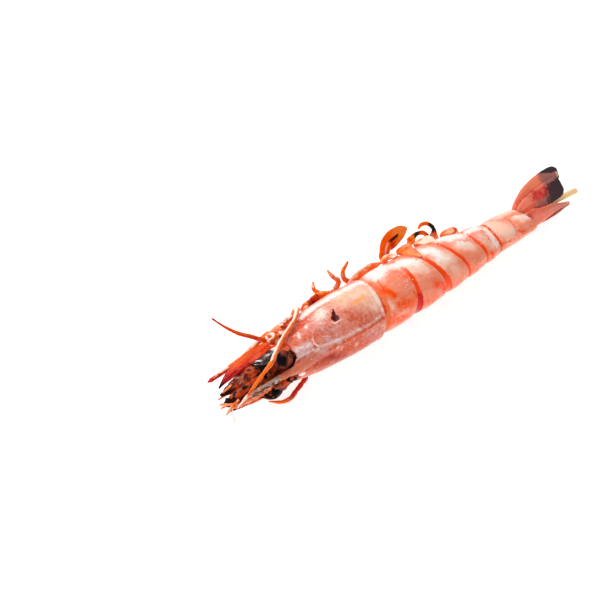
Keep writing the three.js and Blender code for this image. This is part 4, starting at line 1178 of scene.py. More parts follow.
# %% Grey membrane between the feelers
MEMBRANE = [[-60.2, 1.2, 5.6, 0.9, 0.45], [-62.6, 1.8, 5.9, 2.2, 0.45], [-67, 2.7, 6.1, 2.6, 0.45],
            [-70.6, 3.6, 6.3, 2.0, 0.35], [-73.0, 4.1, 6.4, 0.8, 0.3]]
MEMBRANE_LIFT = at(-66, -0.6, 0.1) - at(-66, 0, 0)
points, t, turn = body_limb(MEMBRANE, (-68, -0.1, 0.9, -0.2), steps=110, sides=90, widen=1.6)
points = points + MEMBRANE_LIFT
side = np.cos(turn)
wave = np.sin(t * 5 + 3.2 * side)
pit = bell(t, 1.9, 1.1) * bell(side, 0.55, 0.42)
points = relief(points, 0.20 * wave + 0.14 * bumps(points, 1.2, 2) - 0.3 * pit)
# Black in the pit and along the edge towards the back is painted shade, and pale on the crests of the folds
# is a painted highlight.
masks = {
    "char": 1.3 * pit + 0.9 * ramp(side, 0.4, 0.9),
    "cream": 1.0 * ramp(-side, 0.25, 0.8),
    "deep": 0.5 * ramp(t, 3.0, 4.0),
    "pale": 1.0 * bell(wave, 1, 0.45) * (side < 0.3),
}
tell(ring_piece("feeler_base", points, masks, membrane_grey, "feeler_base"))

# %% Second feelers
FEELERS = {
    "antenna_right": [[-51.6, -4.2, 7.9, 2.2], [-55.5, -3.6, 8.0, 2.6], [-59.2, -4.4, 8.8, 1.6],
                      [-61.8, -4.2, 10.4, 0.9], [-64.8, -3.8, 12.9, 0.85], [-71.1, -3.2, 17.7, 0.75],
                      [-76.4, -3.0, 23.0, 0.5], [-81, -3, 28.9, 0.25]],
    "antenna_left": [[-51.6, -3.2, -6.9, 1.8], [-55.5, -2.6, -7.0, 1.9], [-58.8, -3.4, -7.0, 1.4],
                     [-62, -5.2, -6.8, 0.85], [-68, -5.4, -6.4, 0.75], [-76, -4.2, -6.8, 0.6],
                     [-84, -3.4, -8.0, 0.35]],
}
for name, rows in FEELERS.items():
    points, t, turn = body_limb(rows, (-60, 0, 1, 0), steps=190, sides=30)
    whip = ramp(t, 2.6, 3.2)
    rings = 0.04 * np.cos(t * 60) * whip
    knuckle = 0.20 * bell(t, 3.0, 0.14) - 0.3 * knots_mask(t, [(0.9, 0.1, 1), (1.9, 0.08, 1)])
    points = relief(points, rings + knuckle + 0.12 * bumps(points, 1.8, 6))
    upward, patch = topside(points), bumps(points, 1.8, 16)
    # Orange on the upward skin, over the red shell, is a painted highlight, and the pale patches lean to
    # the upper side as a painted highlight too.
    masks = {
        "warm": 0.9 * ramp(upward, -0.2, 0.7),
        "deep": 0.5 * knots_mask(t, [(0.9, 0.2, 1), (1.9, 0.16, 1), (7, 1.2, 1)]),
        "pale": 0.9 * (1 - whip) * ramp(patch + upward * 0.4, 0.3, 0.6),
        "cream": 0.8 * (1 - whip) * ramp(patch, 0, 0.3),
    }
    tell(ring_piece(name, points, masks, feeler_shell, name))

# %% [markdown]
# Ten walking legs and a pair of jaw legs hang under the head. Grilling has broken and
# folded the upper ones, so each has stations of its own. Every leg starts inside the body
# floor, narrows at its joints, and is darkest there.

# %% Stations of the walking legs
# Each leg: the x of its root, then rows. On the right a row is [x, back, right, half width],
# on the left, where the legs lie on the table, it is [x, y, z, half width].
HIGH_LEGS = {
    "jaw_leg_right": [-45.5, [-51, -11.8, 6.6, 1.3], [-60, -9.4, 7.2, 1.1], [-68, -7.2, 6.6, 1.0],
                      [-78, -6.2, 6.1, 0.95], [-86.4, -6.0, 5.7, 0.9], [-88.6, -6.0, 5.6, 0.35]],
    "leg_right_1": [-40, [-43, -13.2, 5.4, 1.3], [-47, -10.9, 7.4, 1.4], [-52, -9.0, 8.0, 1.2],
                    [-58, -7.6, 7.8, 0.6]],
    "leg_right_2": [-34, [-35.6, -15.2, 6.4, 1.2], [-35.6, -13.4, 9.4, 1.1], [-37.4, -9.8, 11.3, 1.05],
                    [-40.8, -5.4, 12.0, 1.0], [-47.4, -0.3, 11.7, 0.95], [-57.4, 3.8, 10.3, 0.9],
                    [-66.2, 8.8, 9.1, 0.95], [-70.4, 11.2, 8.1, 0.95], [-76.2, 12.5, 6.8, 0.75],
                    [-85.5, 13.3, 3.2, 0.6], [-92.5, 14.4, 1.4, 0.25]],
    "leg_right_3": [-28, [-30.2, -14.8, 6.0, 1.2], [-31.4, -12.8, 8.7, 1.2], [-28.6, -11.6, 10.0, 1.5],
                    [-23.2, -11.4, 10.2, 1.6], [-18.4, -11.6, 9.2, 0.7]],
    "leg_right_4": [-21.6, [-20.6, -15.6, 6.4, 1.2], [-21, -15.0, 9.6, 1.1], [-22.6, -15.2, 12.0, 0.9],
                    [-21.3, -16.2, 14.6, 0.5]],
    "leg_right_5": [-15.4, [-12, -15.9, 6.4, 1.2], [-9.6, -15.7, 9.4, 1.1], [-11, -16.4, 11.6, 1.0],
                    [-11.7, -18, 14.8, 0.5]],
}
LOW_LEGS = {
    "jaw_leg_left": [-45.5, [-51, 10.4, 5.0, 1.2], [-60, 8.6, 6.4, 1.0], [-70, 6.4, 7.0, 0.9],
                     [-80, 4.6, 7.4, 0.6], [-87, 3.8, 8.0, 0.3]],
    "leg_left_1": [-40, [-43.4, 14.8, 2.0, 1.1], [-45.8, 8.4, 1.2, 0.9], [-47.2, 1.4, 0.95, 0.8],
                   [-48.8, -3.6, 1.1, 0.95], [-52.7, -5.5, 1.3, 1.0], [-57.5, -7.2, 1.4, 1.0],
                   [-62.2, -8.6, 1.2, 0.95], [-66, -7.8, 1.3, 0.75], [-69.6, -4.8, 2.0, 0.3]],
    "leg_left_2": [-34, [-36.6, 15.2, 2.2, 1.1], [-43, 18.4, 1.4, 1.0], [-52, 17.6, 1.2, 0.8],
                   [-60, 14.6, 1.2, 0.4]],
    "leg_left_3": [-28, [-29.6, 15.6, 2.2, 1.1], [-36, 20.8, 1.4, 1.0], [-45, 22.0, 1.2, 0.8],
                   [-54, 20.6, 1.1, 0.4]],
    "leg_left_4": [-21.6, [-21, 15.6, 2.2, 1.1], [-25, 21.2, 1.4, 1.0], [-32, 24.6, 1.2, 0.8],
                   [-41, 25.0, 1.0, 0.4]],
    "leg_left_5": [-15.4, [-12.6, 15.6, 2.2, 1.1], [-12.4, 21.2, 1.4, 1.0], [-16, 26.0, 1.2, 0.8],
                   [-24, 28.0, 1.0, 0.4]],
}
print("legs:", len(HIGH_LEGS) + len(LOW_LEGS))

# %% Walking legs
HIP_DEPTHS = (0.35, 1.8)
HIP_ASIDE = 3.4
HIP_HALF = 1.3
TO_BACK = at(0, 1, 0) - at(0, 0, 0)


def leg_masks(name, points, t, joints, seed):
    """Colours of a leg: a painted highlight in pale and cream on top, painted shade in deep red underneath,
    orange in blotches and dark at its joints.
    """
    upward, blotch = topside(points), bumps(points, 3.4, seed + 40)
    lit = ramp(upward, 0.55, 0.95)
    backward = (points - points.mean(axis=1, keepdims=True)) @ TO_BACK / MM**2
    # Pale and cream on the upward skin are a painted highlight, and deep red on the downward skin is
    # painted shade, beside the real dark joints.
    masks = {
        "warm": 0.9 * ramp(blotch, -0.1, 0.3) * (1 - 0.6 * lit),
        "deep": 0.45 * joints + 0.4 * ramp(-upward, 0.2, 0.9),
        "cream": 0.9 * lit * ramp(-blotch, -0.3, 0.2),
        "pale": 0.6 * lit * ramp(bumps(points, 2.6, seed + 60), 0.0, 0.3),
    }
    if name == "jaw_leg_right":
        # Pale on the upward skin is a painted highlight.
        masks = {
            "warm": 0.8 * ramp(upward, 0, 0.5),
            "deep": 0.9 * ramp(t, 4.8, 5.6) + 0.3 * joints,
            "pale": 0.8 * lit * ramp(blotch, 0, 0.3),
        }
    elif name == "leg_left_1":
        # Cream on the upward skin is a painted highlight.
        masks = {"warm": 0.8 * ramp(t, 7.2, 9.0), "deep": 1 - ramp(t, 7.0, 8.6), "cream": 0.3 * lit}
    elif name == "leg_right_3":
        masks["amber"] = 1.1 * ramp(t, 3.2, 4.0)
        masks["deep"] = 0.9 * ramp(backward, -0.2, 0.5) * bell(t, 4.15, 0.65)
        masks["char"] = 0.5 * ramp(backward, 0.2, 0.8) * bell(t, 4.0, 0.45)
        # Pale on the side turned from the back is a painted highlight.
        masks["pale"] = 0.9 * ramp(-backward, 0.5, 1.1) * ramp(t, 3.6, 4.4)
    elif name == "leg_right_2":
        # Pale along the upper edge of the shaft is a painted highlight, and deep red on its downward skin
        # is painted shade.
        shaft = ramp(t, 3.2, 4.2)
        edge = ramp(0.8 * upward - backward, 0.2, 0.7) * (1 - ramp(t, 8.8, 9.3))
        masks["pale"] = 1.3 * shaft * edge + 0.9 * ramp(t, 11.0, 11.4)
        masks["warm"] = 1.08 * bell(t, 10.0, 0.8) * ramp(upward, -0.2, 0.4)
        masks["warm"] += 0.5 * shaft * ramp(backward, -0.2, 0.5)
        masks["deep"] = 0.6 * shaft * ramp(-upward, 0.0, 0.7)
        masks["deep"] += 0.6 * knots_mask(t, [(9.0, 0.12, 1), (11.0, 0.2, 1)])
        masks["cream"] = 0.7 * ramp(t, 8.9, 9.4) * ramp(-backward, 0.1, 0.6)
    return masks


def leg(name, root_x, side, stations, seed):
    """A leg from inside the body floor through its stations of a place and a half width."""
    roots = [(at(root_x, -STERNUM - depth, side * HIP_ASIDE), HIP_HALF) for depth in HIP_DEPTHS]
    places, half = zip(*roots, *stations)
    points, t, turn = limb_points(places, half, half, np.array([1.0, 0, 0]), 24 * len(half), sides=36)
    inner = range(2, len(half) - 1)
    joints = knots_mask(t, [(k, 0.12, 1) for k in inner])
    swollen = knots_mask(t, [(k + 0.25, 0.18, 1) for k in inner])
    size = along_sizes(half, t[:, 0])[:, None]
    uneven = 0.08 * swollen - 0.12 * joints + 0.10 * bumps(points, 2.4, seed) - 0.06
    points = relief(points, size * uneven)
    return ring_piece(name, points, leg_masks(name, points, t, joints, seed), leg_shell, name)


for seed, (name, (root_x, *rows)) in enumerate(HIGH_LEGS.items()):
    tell(leg(name, root_x, 1, [(at(*row[:3]), row[3]) for row in rows], seed))
for seed, (name, (root_x, *rows)) in enumerate(LOW_LEGS.items()):
    stations = [(np.array(row[:3]) * MM + frame_shift, row[3]) for row in rows]
    tell(leg(name, root_x, -1, stations, seed + 20))

# %% [markdown]
# Under each of the first five tail rings sits a pair of swimmerets, soft paddles on short
# blocks. On the left they are pressed flat under the body. On the right the fire has
# curled each one its own way: a leaf, an arch, two hooks and a stub.

# %% Swimmerets
HIGH_SWIMMERETS = [
    (-3.0, (0, 1, 0, 0), [
        [-4.6, -15.6, 6.2, 1.2, 1.0], [-6.8, -15.4, 9.1, 1.0, 0.8], [-6.2, -16.0, 11.4, 0.9, 0.7],
        [-1.5, -17.2, 13.6, 0.4, 0.3]]),
    (13.0, (20, -0.55, 0.2, 0.8), [
        [15.4, -15.2, 6.5, 2.2, 1.1], [15.9, -14.8, 10.2, 3.0, 0.9], [18.2, -14.5, 12.9, 4.2, 0.6],
        [22.3, -14.4, 13.7, 4.2, 0.5], [26.5, -14.3, 14.2, 2.9, 0.45], [29.2, -14.2, 14.7, 0.7, 0.35]]),
    (26.5, (30, 0.7, 0, 0.7), [
        [27.6, -14.2, 5.8, 3.2, 1.1], [29.4, -13.8, 8.6, 2.0, 0.9], [32.6, -13.5, 10.4, 0.9, 0.8],
        [36.2, -13.3, 9.8, 0.9, 0.7], [38.2, -13.1, 7.8, 0.8, 0.6], [38.8, -13.2, 6.0, 0.4, 0.4]]),
    (40.0, (40, 0.7, 0, 0.7), [
        [41.4, -12.8, 5.2, 2.4, 0.9], [42.4, -13.0, 9.0, 0.9, 0.7], [40.4, -13.8, 12.0, 0.8, 0.7],
        [36.8, -13.9, 13.0, 0.8, 0.6], [34.6, -13.6, 12.2, 0.4, 0.4]]),
    (51.6, (50, 0.7, 0, 0.7), [
        [52.0, -11.2, 3.6, 2.0, 0.8], [50.6, -11.4, 5.2, 1.4, 0.6], [46.6, -11.4, 5.8, 0.5, 0.3]]),
]
LEAF = 1
LEAF_WIDEN = 1.18
DARK_MIDDLES = {2: [(4.1, 0.55, 0.8), (6.3, 0.6, 0.8)], 3: [(3.3, 0.7, 1.0)]}
BLOCK_ASIDE, BLOCK_HALF = 2.4, 1.3
BLOCK_DROPS = (0.6, 2.3)


def shrink(index):
    """How much smaller the swimmerets are at each ring further back."""
    return 1 - 0.09 * index


def floor_of(index, x):
    """The back coordinate of the flesh between the swimmerets of a ring."""
    return RINGS[index]["hollow"] - TAIL_BELLY(x)


def swimmeret(name, index, x, side, rows, wide):
    """A swimmeret from inside its ring: a short block, then the rows of its paddle."""
    half = BLOCK_HALF * shrink(index)
    roots = [[x, floor_of(index, x) - drop, side * BLOCK_ASIDE * shrink(index), half, half * 0.8]
             for drop in BLOCK_DROPS]
    rows = roots + rows
    is_leaf = index == LEAF and side > 0
    widen = LEAF_WIDEN if is_leaf else 1.0
    points, t, turn = body_limb(rows, wide, steps=26 * len(rows), sides=52, widen=widen)
    across = np.cos(turn)
    vein = 0.07 * np.cos(across * 14) * ramp(t, 1.5, 2.5)
    vein = vein - 0.3 * bell(across, 0.1, 0.12) * ramp(t, 2.2, 2.8)
    fold = -0.2 * knots_mask(t, [(2.0, 0.12, 1), (3.0, 0.12, 0.6)])
    points = relief(points, vein + fold + 0.14 * bumps(points, 2.4, index + 3))
    upward = topside(points)
    # Pale on the upward skin is a painted highlight, and deep red on the downward skin is painted shade.
    masks = {
        "cream": 0.9 * (1 - ramp(t, 2.0, 2.7)),
        "warm": 1.0 * ramp(t, 1.9, 2.6) * ramp(bumps(points, 4.5, index), -0.4, 0.0),
        "pale": 0.6 * (1 - ramp(t, 1.6, 2.4)) * ramp(upward, 0.4, 0.9),
        "deep": 0.5 * ramp(-upward, 0.1, 0.8) * ramp(t, 2.4, 3.2),
    }
    if is_leaf:
        streak = bell(across, 0.1, 0.13) * ramp(t, 2.0, 2.4) * (1 - ramp(t, 3.7, 4.2))
        masks["pale"] = masks["pale"] + 1.4 * streak
        masks["char"] = bell(across, 0.05, 0.17) * ramp(t, 3.9, 4.4) * (1 - ramp(t, 5.2, 5.7))
        masks["amber"] = 1.2 * ramp(t, 3.8, 5.0)
        masks["warm"] = 1.0 * ramp(t, 1.9, 2.6) * (1 - ramp(t, 4.0, 5.2))
        masks["deep"] = 0.6 * ramp(-across, -0.1, 0.3) * bell(t, 4.4, 0.8)
    elif side > 0 and index in DARK_MIDDLES:
        masks["char"] = knots_mask(t, DARK_MIDDLES[index])
        masks["amber"] = 0.9 * ramp(t, 2.4, 3.4)
    return ring_piece(name, points, masks, leg_shell, name)


def flat_rows(index, x):
    """The paddle of a left swimmeret, pressed flat under the body."""
    back, out, small = floor_of(index, x) - BLOCK_DROPS[-1], -BLOCK_ASIDE * shrink(index), shrink(index)
    return [
        [x + 4, back - 2.2, out * 1.4, 1.6 * small, 0.7], [x + 8, back - 2.8, out * 1.5, 1.4 * small, 0.5],
        [x + 11.5, back - 2.8, out * 1.5, 0.4, 0.3],
    ]


for index, (x, wide, rows) in enumerate(HIGH_SWIMMERETS):
    tell(swimmeret(f"swimmeret_right_{index + 1}", index, x, 1, rows, wide))
    tell(swimmeret(f"swimmeret_left_{index + 1}", index, x, -1, flat_rows(index, x), (x, 0, 1, 0)))

# %% [markdown]
# The tail ends in a fan: a pointed middle piece with a shallow groove, and two blades on
# each side, of which the right ones are spread and burnt towards the rear edge. Blades are
# limbs that are very wide and very thin, with fine ribs along them.

# %% Tail fan
# Each blade: its wide direction, how much wider it is drawn, and its rows.
FAN = {
    "telson": ((90, 0, 0, 1), 1.0, [
        [79.1, 4.3, 0.3, 2.9, 1.0], [83, 4.0, 0.6, 4.2, 1.4], [89, 3.4, -0.6, 3.4, 1.3],
        [95.5, 2.8, -1.3, 2.6, 1.0], [102, 2.4, -2.3, 1.5, 0.7], [109.4, 2.2, -3.6, 0.3, 0.2]]),
    "uropod_right_inner": ((95, 0, -0.42, 0.9), 1.1, [
        [79.3, -0.4, 3.0, 0.9, 0.6], [83, -0.4, 4.4, 2.1, 0.6], [89, -0.4, 5.0, 3.2, 0.5],
        [96, -0.6, 4.6, 4.0, 0.4], [103, -0.6, 4.6, 4.3, 0.4], [106.4, -0.6, 4.8, 4.0, 0.35],
        [108.2, -0.6, 5.0, 2.6, 0.3]]),
    "uropod_right_outer": ((95, 0, -0.42, 0.9), 1.12, [
        [79.3, -3.0, 2.4, 1.1, 0.6], [83.5, -3.6, 5.2, 1.9, 0.7], [90, -4.0, 7.6, 2.7, 0.55],
        [97, -4.0, 8.8, 3.1, 0.45], [103, -3.7, 9.2, 3.3, 0.4], [107.6, -3.3, 9.2, 3.1, 0.35],
        [109.6, -3.1, 9.0, 1.9, 0.3]]),
    "uropod_left_inner": ((95, 0, 1, 0), 1.15, [
        [79.3, 0.6, -2.9, 1.1, 0.5], [82, 0.4, -3.1, 1.2, 0.5], [85, 0.1, -3.5, 1.9, 0.4],
        [90, -0.4, -3.8, 3.0, 0.4], [97, -0.5, -3.9, 3.2, 0.35], [103, -0.2, -3.9, 2.3, 0.3],
        [105.6, 0.2, -4.0, 0.6, 0.25]]),
    "uropod_left_outer": ((95, 0, 1, 0), 1.15, [
        [79.3, -2.2, -2.3, 1.1, 0.5], [82, -2.8, -3.3, 1.0, 0.4], [84.5, -2.6, -4.7, 1.8, 0.4],
        [90, -1.8, -5.1, 3.2, 0.4], [98, -1.2, -5.2, 3.4, 0.4], [105, -0.2, -5.1, 2.3, 0.35],
        [110, 1.4, -4.9, 0.5, 0.3]]),
}
FAN_LEAN = math.radians(25)


def across_fan(x, points):
    """How far up the right lobe a point lies, in millimetres from the long axis."""
    flat = at(x, 0, 0)
    right_way, back_way = at(x, 0, 1) - flat, at(x, 1, 0) - flat
    right_part = ((points - flat) * right_way).sum(axis=-1) / MM**2
    back_part = ((points - flat) * back_way).sum(axis=-1) / MM**2
    return right_part * math.cos(FAN_LEAN) - back_part * math.sin(FAN_LEAN)


def right_lobe_masks(points):
    """The spread lobe: red in its middle, mauve above, and burnt towards the rear edge."""
    x, patch = body_x(points), bumps(points, 3.0, 5)
    height = across_fan(x, points) + patch
    edge = 9.2 - 0.16 * (x - 88)
    red = ramp(x, 84, 93) * (1 - ramp(height, edge - 2.0, edge + 2.2)) * ramp(height, 0.2, 5.0)
    lower_burn = ramp(x - 0.5 * height + 2 * patch, 91.5, 102.5) * (1 - ramp(height, 6.6, 9.0))
    upper_burn = ramp(height + 0.36 * (x - 100.7), 12.2, 13.6) * ramp(x + patch, 98.5, 101)
    upper_bloom = ramp(x, 97, 102) * ramp(height, 6.0, 8.6)
    lower_bloom = ramp(x, 83, 94) * (1 - ramp(height, 0.8, 5.2))
    return {
        "warm": 0.8 * ramp(height, 8.0, 11.0) * (1 - ramp(x, 96, 101)) + 0.3 * ramp(patch, 0.0, 0.4),
        "deep": 0.75 * red + 0.3 * ramp(-patch, 0.1, 0.5),
        "mauve": upper_bloom + lower_bloom,
        "char": 1.1 * lower_burn + 1.1 * upper_burn,
        "pale": 0.7 * ramp(x, 107.4, 108.8) * (1 - ramp(height, 9.0, 10.5)),
    }


def left_lobe_masks(points):
    """The folded lobe: coral at its root, mauve towards its tip, and a pale painted highlight on its upward
    skin.
    """
    x, patch = body_x(points), bumps(points, 3.0, 5)
    far = ramp(x, 90, 102)
    return {
        "warm": 0.5 * (1 - far) * ramp(patch, -0.3, 0.4),
        "mauve": 0.55 * far,
        "deep": 0.5 * (1 - ramp(x, 80, 85)),
        "char": 0.6 * ramp(x, 103, 109),
        "pale": 0.3 * ramp(topside(points), 0.6, 1.0) * ramp(x, 90, 97),
    }


for name, (wide, widen, rows) in FAN.items():
    points, t, turn = body_limb(rows, wide, steps=150, sides=110, widen=widen)
    side, spread = np.cos(turn), name.startswith("uropod_right")
    if name == "telson":
        ribs = -0.12 * bell(side, 0, 0.2) * ramp(t, 0.4, 1.2)
    else:
        fine = 0.03 if spread else 0.012
        ribs = fine * np.cos(side * 40) * ramp(t, 1.0, 2.0)
        ribs = ribs + 5 * fine * bell(side, -0.15, 0.14) * (1 - ramp(t, 3.5, 5.0))
    seed = len(name)
    points = relief(points, ribs + 0.14 * bumps(points, 3.2, seed) + 0.05 * bumps(points, 1.0, seed))
    masks = right_lobe_masks(points) if spread else left_lobe_masks(points)
    tell(ring_piece(name, points, masks, burnt_fan if spread else fan_shell, name))

# %% [markdown]
# The stick is a straight round bar with a blunted point. Real split bamboo is never quite
# round, so fine ridges run along it.

# %% Skewer
STICK_SIDES = 96
STOPS = [(SKEWER_START + 0.3, 1), (84, 1), (SKEWER_TIP - 1, 1), (SKEWER_TIP - 0.3, 0.8), (SKEWER_TIP, 0.4)]
thickness = smooth(STOPS)
stop = [x for x, _ in STOPS]
xs = np.concatenate([
    np.linspace(stop[0], stop[1], 40, endpoint=False), np.linspace(stop[1], stop[2], 90, endpoint=False),
    np.linspace(stop[2], stop[3], 90, endpoint=False), [stop[3], (stop[3] + stop[4]) / 2, stop[4]],
])
stick = np.array([skewer_ring(x, SKEWER_RADIUS * thickness(x), STICK_SIDES) for x in xs])
angle = np.arange(STICK_SIDES) * 2 * np.pi / STICK_SIDES
fibre = 0.03 * np.cos(angle * 17 + 1) + 0.02 * np.cos(angle * 31)
stick = relief(stick, fibre + 0.03 * bumps(stick, 3.0, 1))
tell(ring_piece("skewer", stick, {}, bamboo, "skewer"))

# %% [markdown]
# Small things make the animal look eaten by fire rather than moulded: soft flesh blocks
# that bulge between the rings and the swimmerets, crumbs of orange tissue along the
# feelers, and threads at the tip. They have no solid of their own in the frame, so they
# ride along without replacing a node.

# %% Soft blocks between tail rings and swimmerets
# Each block: its wide direction, how dry and pale it is from 0 to 1, which also sets the
# painted highlight on its upward skin, and its rows.
BLOCKS = {
    "flap_1": ((0, 0.5, 0, 0.9), 0.5, [
        [-8.5, -12.6, 7.0, 0.6, 0.5], [-4, -13.4, 7.6, 1.7, 0.8], [1, -13.6, 7.9, 1.9, 0.8],
        [6, -13.2, 8.2, 1.6, 0.7], [10, -11.2, 8.9, 0.6, 0.4]]),
    "block_2": ((12, 1, 0, 0), 0.8, [
        [13.6, -14.2, 6.4, 1.6, 1.2], [13.8, -12.6, 8.6, 2.4, 1.2], [13.6, -9.0, 10.0, 2.1, 0.9],
        [12.8, -5.0, 10.9, 1.0, 0.5]]),
    "block_3": ((20, 1, 0, 0), 0.15, [
        [24.6, -13.4, 6.4, 2.4, 1.3], [23.2, -11.6, 8.4, 3.6, 1.5], [20.4, -7.4, 9.8, 3.4, 1.3],
        [18.6, -2.4, 10.6, 2.6, 1.0], [17.8, 2.4, 10.9, 1.5, 0.6], [17.4, 4.6, 10.7, 0.4, 0.3]]),
    "block_4": ((30, 1, 0, 0), 0.9, [
        [33.0, -12.6, 6.6, 3.0, 1.3], [32.6, -10.6, 8.0, 4.2, 1.4], [32.0, -7.0, 8.9, 3.4, 1.1],
        [31.6, -3.0, 9.3, 1.8, 0.7], [31.4, -0.6, 9.4, 0.5, 0.3]]),
    "block_5": ((45, 1, 0, 0), 0.3, [
        [45.4, -11.0, 5.6, 2.6, 1.0], [45.6, -9.6, 6.8, 3.4, 1.1], [45.2, -7.0, 7.5, 2.6, 0.8],
        [44.8, -4.6, 7.9, 0.8, 0.4]]),
}
for number, (name, (wide, dryness_and_highlight, rows)) in enumerate(BLOCKS.items()):
    points, t, turn = body_limb(rows, wide, steps=90, sides=80)
    points = relief(points, 0.30 * bumps(points, 3.0, number) + 0.14 * bumps(points, 1.1, number + 5))
    upward, tone = topside(points), bumps(points, 3.2, number + 9)
    # Pale on the upward skin is dry skin and a painted highlight, and deep red on the downward skin is
    # painted shade.
    masks = {
        "cream": dryness_and_highlight * ramp(tone, -0.1, 0.3),
        "pale": dryness_and_highlight * ramp(upward + 0.6 * tone, 0.55, 0.95),
        "warm": 0.7 * ramp(-tone, 0.1, 0.4),
        "deep": 0.5 * ramp(-upward, 0.1, 0.7),
        "amber": 0.42 * ramp(tone, -0.4, 0.1),
    }
    tell(ring_piece(name, points, masks, leg_shell))

# %% [markdown]
# The shreds are peeling strips of skin. The burnt ones fill the space between the feelers,
# the orange ones hang at the mouth and where the legs begin.

# %% Shreds round the mouth and the feelers
SHREDS = {
    "burnt_filling": (charred, [
        [-62, 2.4, 1.2, 2.2, 2.0], [-70, 4.4, 2.0, 2.4, 2.2], [-78, 5.6, 2.0, 2.2, 2.0],
        [-85, 6.4, 1.8, 1.8, 1.6], [-89.4, 6.8, 1.8, 1.0, 0.9]]),
    "burnt_top": (charred, [
        [-64, 2.2, 4.6, 1.2, 1.0], [-70.6, 2.4, 5.2, 1.9, 1.3], [-75.4, 1.7, 5.4, 2.1, 1.2],
        [-80.2, 2.1, 4.9, 1.8, 1.1], [-85.0, 3.0, 4.1, 1.3, 0.9], [-88.6, 3.9, 3.9, 0.5, 0.4]]),
    "burnt_cheek": (charred, [
        [-57.4, 8.4, -3.8, 0.8, 0.9], [-60.6, 8.6, -3.6, 1.9, 1.3], [-64.6, 8.6, -3.4, 2.0, 1.4],
        [-68.4, 8.8, -3.2, 1.6, 1.2], [-71, 9.2, -2.8, 0.6, 0.5]]),
    "left_strip": (leg_shell, [
        [-70.6, 7.6, -3.0, 0.6, 0.5], [-76.6, 8.2, -2.6, 1.1, 0.6], [-83, 8.6, -2.0, 1.2, 0.6],
        [-88.4, 9.2, -1.2, 0.9, 0.5], [-91.4, 9.8, -0.4, 0.3, 0.3]]),
    "mouth_shred_1": (feeler_shell, [
        [-42, -11.4, 8.6, 0.5, 0.4], [-46.5, -8.6, 9.2, 1.1, 0.7], [-51.5, -6.4, 9.4, 1.2, 0.8],
        [-56.5, -5.2, 9.0, 0.9, 0.6]]),
    "mouth_shred_2": (feeler_shell, [
        [-36, -14.6, 6.8, 0.5, 0.4], [-40, -12.6, 7.8, 1.2, 0.8], [-45, -10.4, 8.4, 1.0, 0.7],
        [-49, -9.6, 8.0, 0.4, 0.3]]),
    "mouth_shred_3": (leg_shell, [
        [-52.4, -2.4, 8.6, 0.5, 0.4], [-54.6, -3.0, 8.9, 1.4, 0.7], [-57.6, -3.2, 8.8, 1.3, 0.7],
        [-60.0, -2.6, 8.4, 0.5, 0.4]]),
    "leg_base": (leg_shell, [
        [-33.5, -10.2, 8.8, 0.6, 0.5], [-29.5, -12.6, 8.8, 1.4, 0.8], [-24, -14.2, 8.4, 1.5, 0.9],
        [-19, -13.9, 8.4, 1.3, 0.8], [-15.6, -12.0, 8.8, 0.5, 0.4]]),
}
for number, (name, (material, rows)) in enumerate(SHREDS.items()):
    points, t, turn = body_limb(rows, (-60, 0, 1, 0.4), steps=110, sides=64)
    points = relief(points, flakes(points, 0.30, 2.2, number + 2) + 0.12 * bumps(points, 0.8, number))
    upward, tone = topside(points), bumps(points, 2.0, number + 12)
    # Deep red on the downward skin is painted shade, and on the orange shreds pale on the upward skin is a
    # painted highlight.
    masks = {
        "warm": 0.9 * ramp(tone, -0.1, 0.25),
        "cream": 0.7 * ramp(-tone, 0.1, 0.35),
        "deep": 0.8 * ramp(-upward, 0.0, 0.7),
    }
    if material == charred:
        masks["char"] = 0.8 * ramp(-tone, 0.05, 0.3)
    else:
        masks["pale"] = 0.8 * ramp(upward + tone, 0.75, 1.1)
    # A band of painted shade in black at x -71, beside the membrane.
    if name == "burnt_top":
        masks["char"] = masks["char"] + 1.3 * bell(body_x(points), -71.0, 3.2)
    tell(ring_piece(name, points, masks, material))

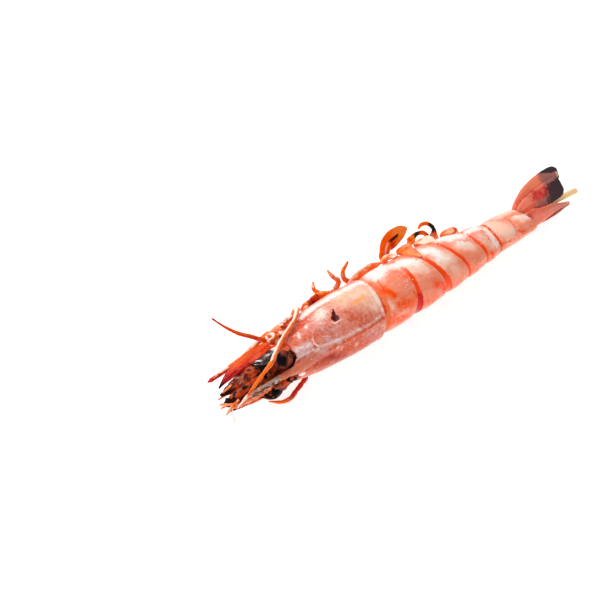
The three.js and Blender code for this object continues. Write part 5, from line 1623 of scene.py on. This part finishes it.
# %% Threads at the tip
THREADS = {
    "thread_1": [[-88.0, 9.4, 1.0, 0.5], [-90.2, 9.4, 0.6, 0.45], [-91.6, 7.4, 0.6, 0.4],
                 [-92.4, 5.2, 0.6, 0.5], [-93.4, 4.4, 0.6, 0.2]],
    "thread_2": [[-91.4, 7.4, 0.5, 0.4], [-93.4, 7.0, 0.5, 0.4], [-95.2, 7.0, 0.5, 0.15]],
    "thread_3": [[-90.6, 9.2, 0.5, 0.5], [-93.6, 10.6, 0.2, 0.6], [-96.8, 12.2, 0.0, 0.2]],
    "thread_4": [[-91.6, 9.8, 0.4, 0.3], [-92.8, 10.6, -1.6, 0.22], [-93.2, 10.9, -4.2, 0.2],
                 [-93.9, 10.6, -7.6, 0.12]],
    "thread_5": [[-84.0, 4.0, 5.0, 0.5], [-88.2, 4.8, 5.0, 0.5], [-91.0, 5.0, 4.6, 0.2]],
}
PALE_THREAD = "thread_4"
for name, rows in THREADS.items():
    points, t, turn = body_limb(rows, (-90, 0, 0, 1), steps=60, sides=14)
    points = relief(points, 0.08 * bumps(points, 0.9, len(rows)))
    # Cream on the upward skin is a painted highlight.
    masks = {
        "warm": 0.8 * ramp(bumps(points, 2.0, 3), -0.2, 0.2),
        "cream": 0.6 * ramp(topside(points), 0.2, 0.8),
        "pale": 0.9 * (name == PALE_THREAD),
    }
    tell(ring_piece(name, points, masks, leg_shell))

# %% [markdown]
# Coarse salt was rubbed on before grilling. Each crystal is a small cube with uneven
# corners, turned at random and half sunk into the shell. All crystals share one mesh,
# because nothing about them changes singly.

# %% Salt crystals
CRYSTALS = 110
salt = bpy.data.materials.new("salt")
salt.use_nodes = True
surface = salt.node_tree.nodes["Principled BSDF"]
surface.inputs["Base Color"].default_value = srgb(255, 250, 246)
surface.inputs["Roughness"].default_value = 0.25
CORNERS = np.array([(x, y, z) for x in (-1, 1) for y in (-1, 1) for z in (-1, 1)], float)
SIDES = np.array([(0, 1, 3, 2), (4, 6, 7, 5), (0, 4, 5, 1), (2, 3, 7, 6), (0, 2, 6, 4), (1, 5, 7, 3)])
chance = np.random.default_rng(7)
crystals, quads = [], []
for number in range(CRYSTALS):
    if number % 2:
        x, degrees = chance.uniform(-56, -34), chance.normal(40, 26)
        spot = head_point(x, degrees, 0.0, 0.1)
    else:
        x, degrees = chance.uniform(-4, 66), chance.normal(55, 34)
        spot = tail_point(x, degrees, -0.2, 0.0, 0.0)
    size = chance.uniform(0.07, 0.17) * MM
    spin, _ = np.linalg.qr(chance.normal(size=(3, 3)))
    rough_corners = CORNERS * chance.uniform(0.7, 1.0, (8, 3))
    quads.append(SIDES + len(CORNERS) * number)
    crystals.append(spot + size * rough_corners @ spin)
made = make_piece("salt_crystals", np.concatenate(crystals), np.concatenate(quads), {}, salt, None)
for face in made.data.polygons:
    face.use_smooth = False
print("salt crystals:", len(crystals))
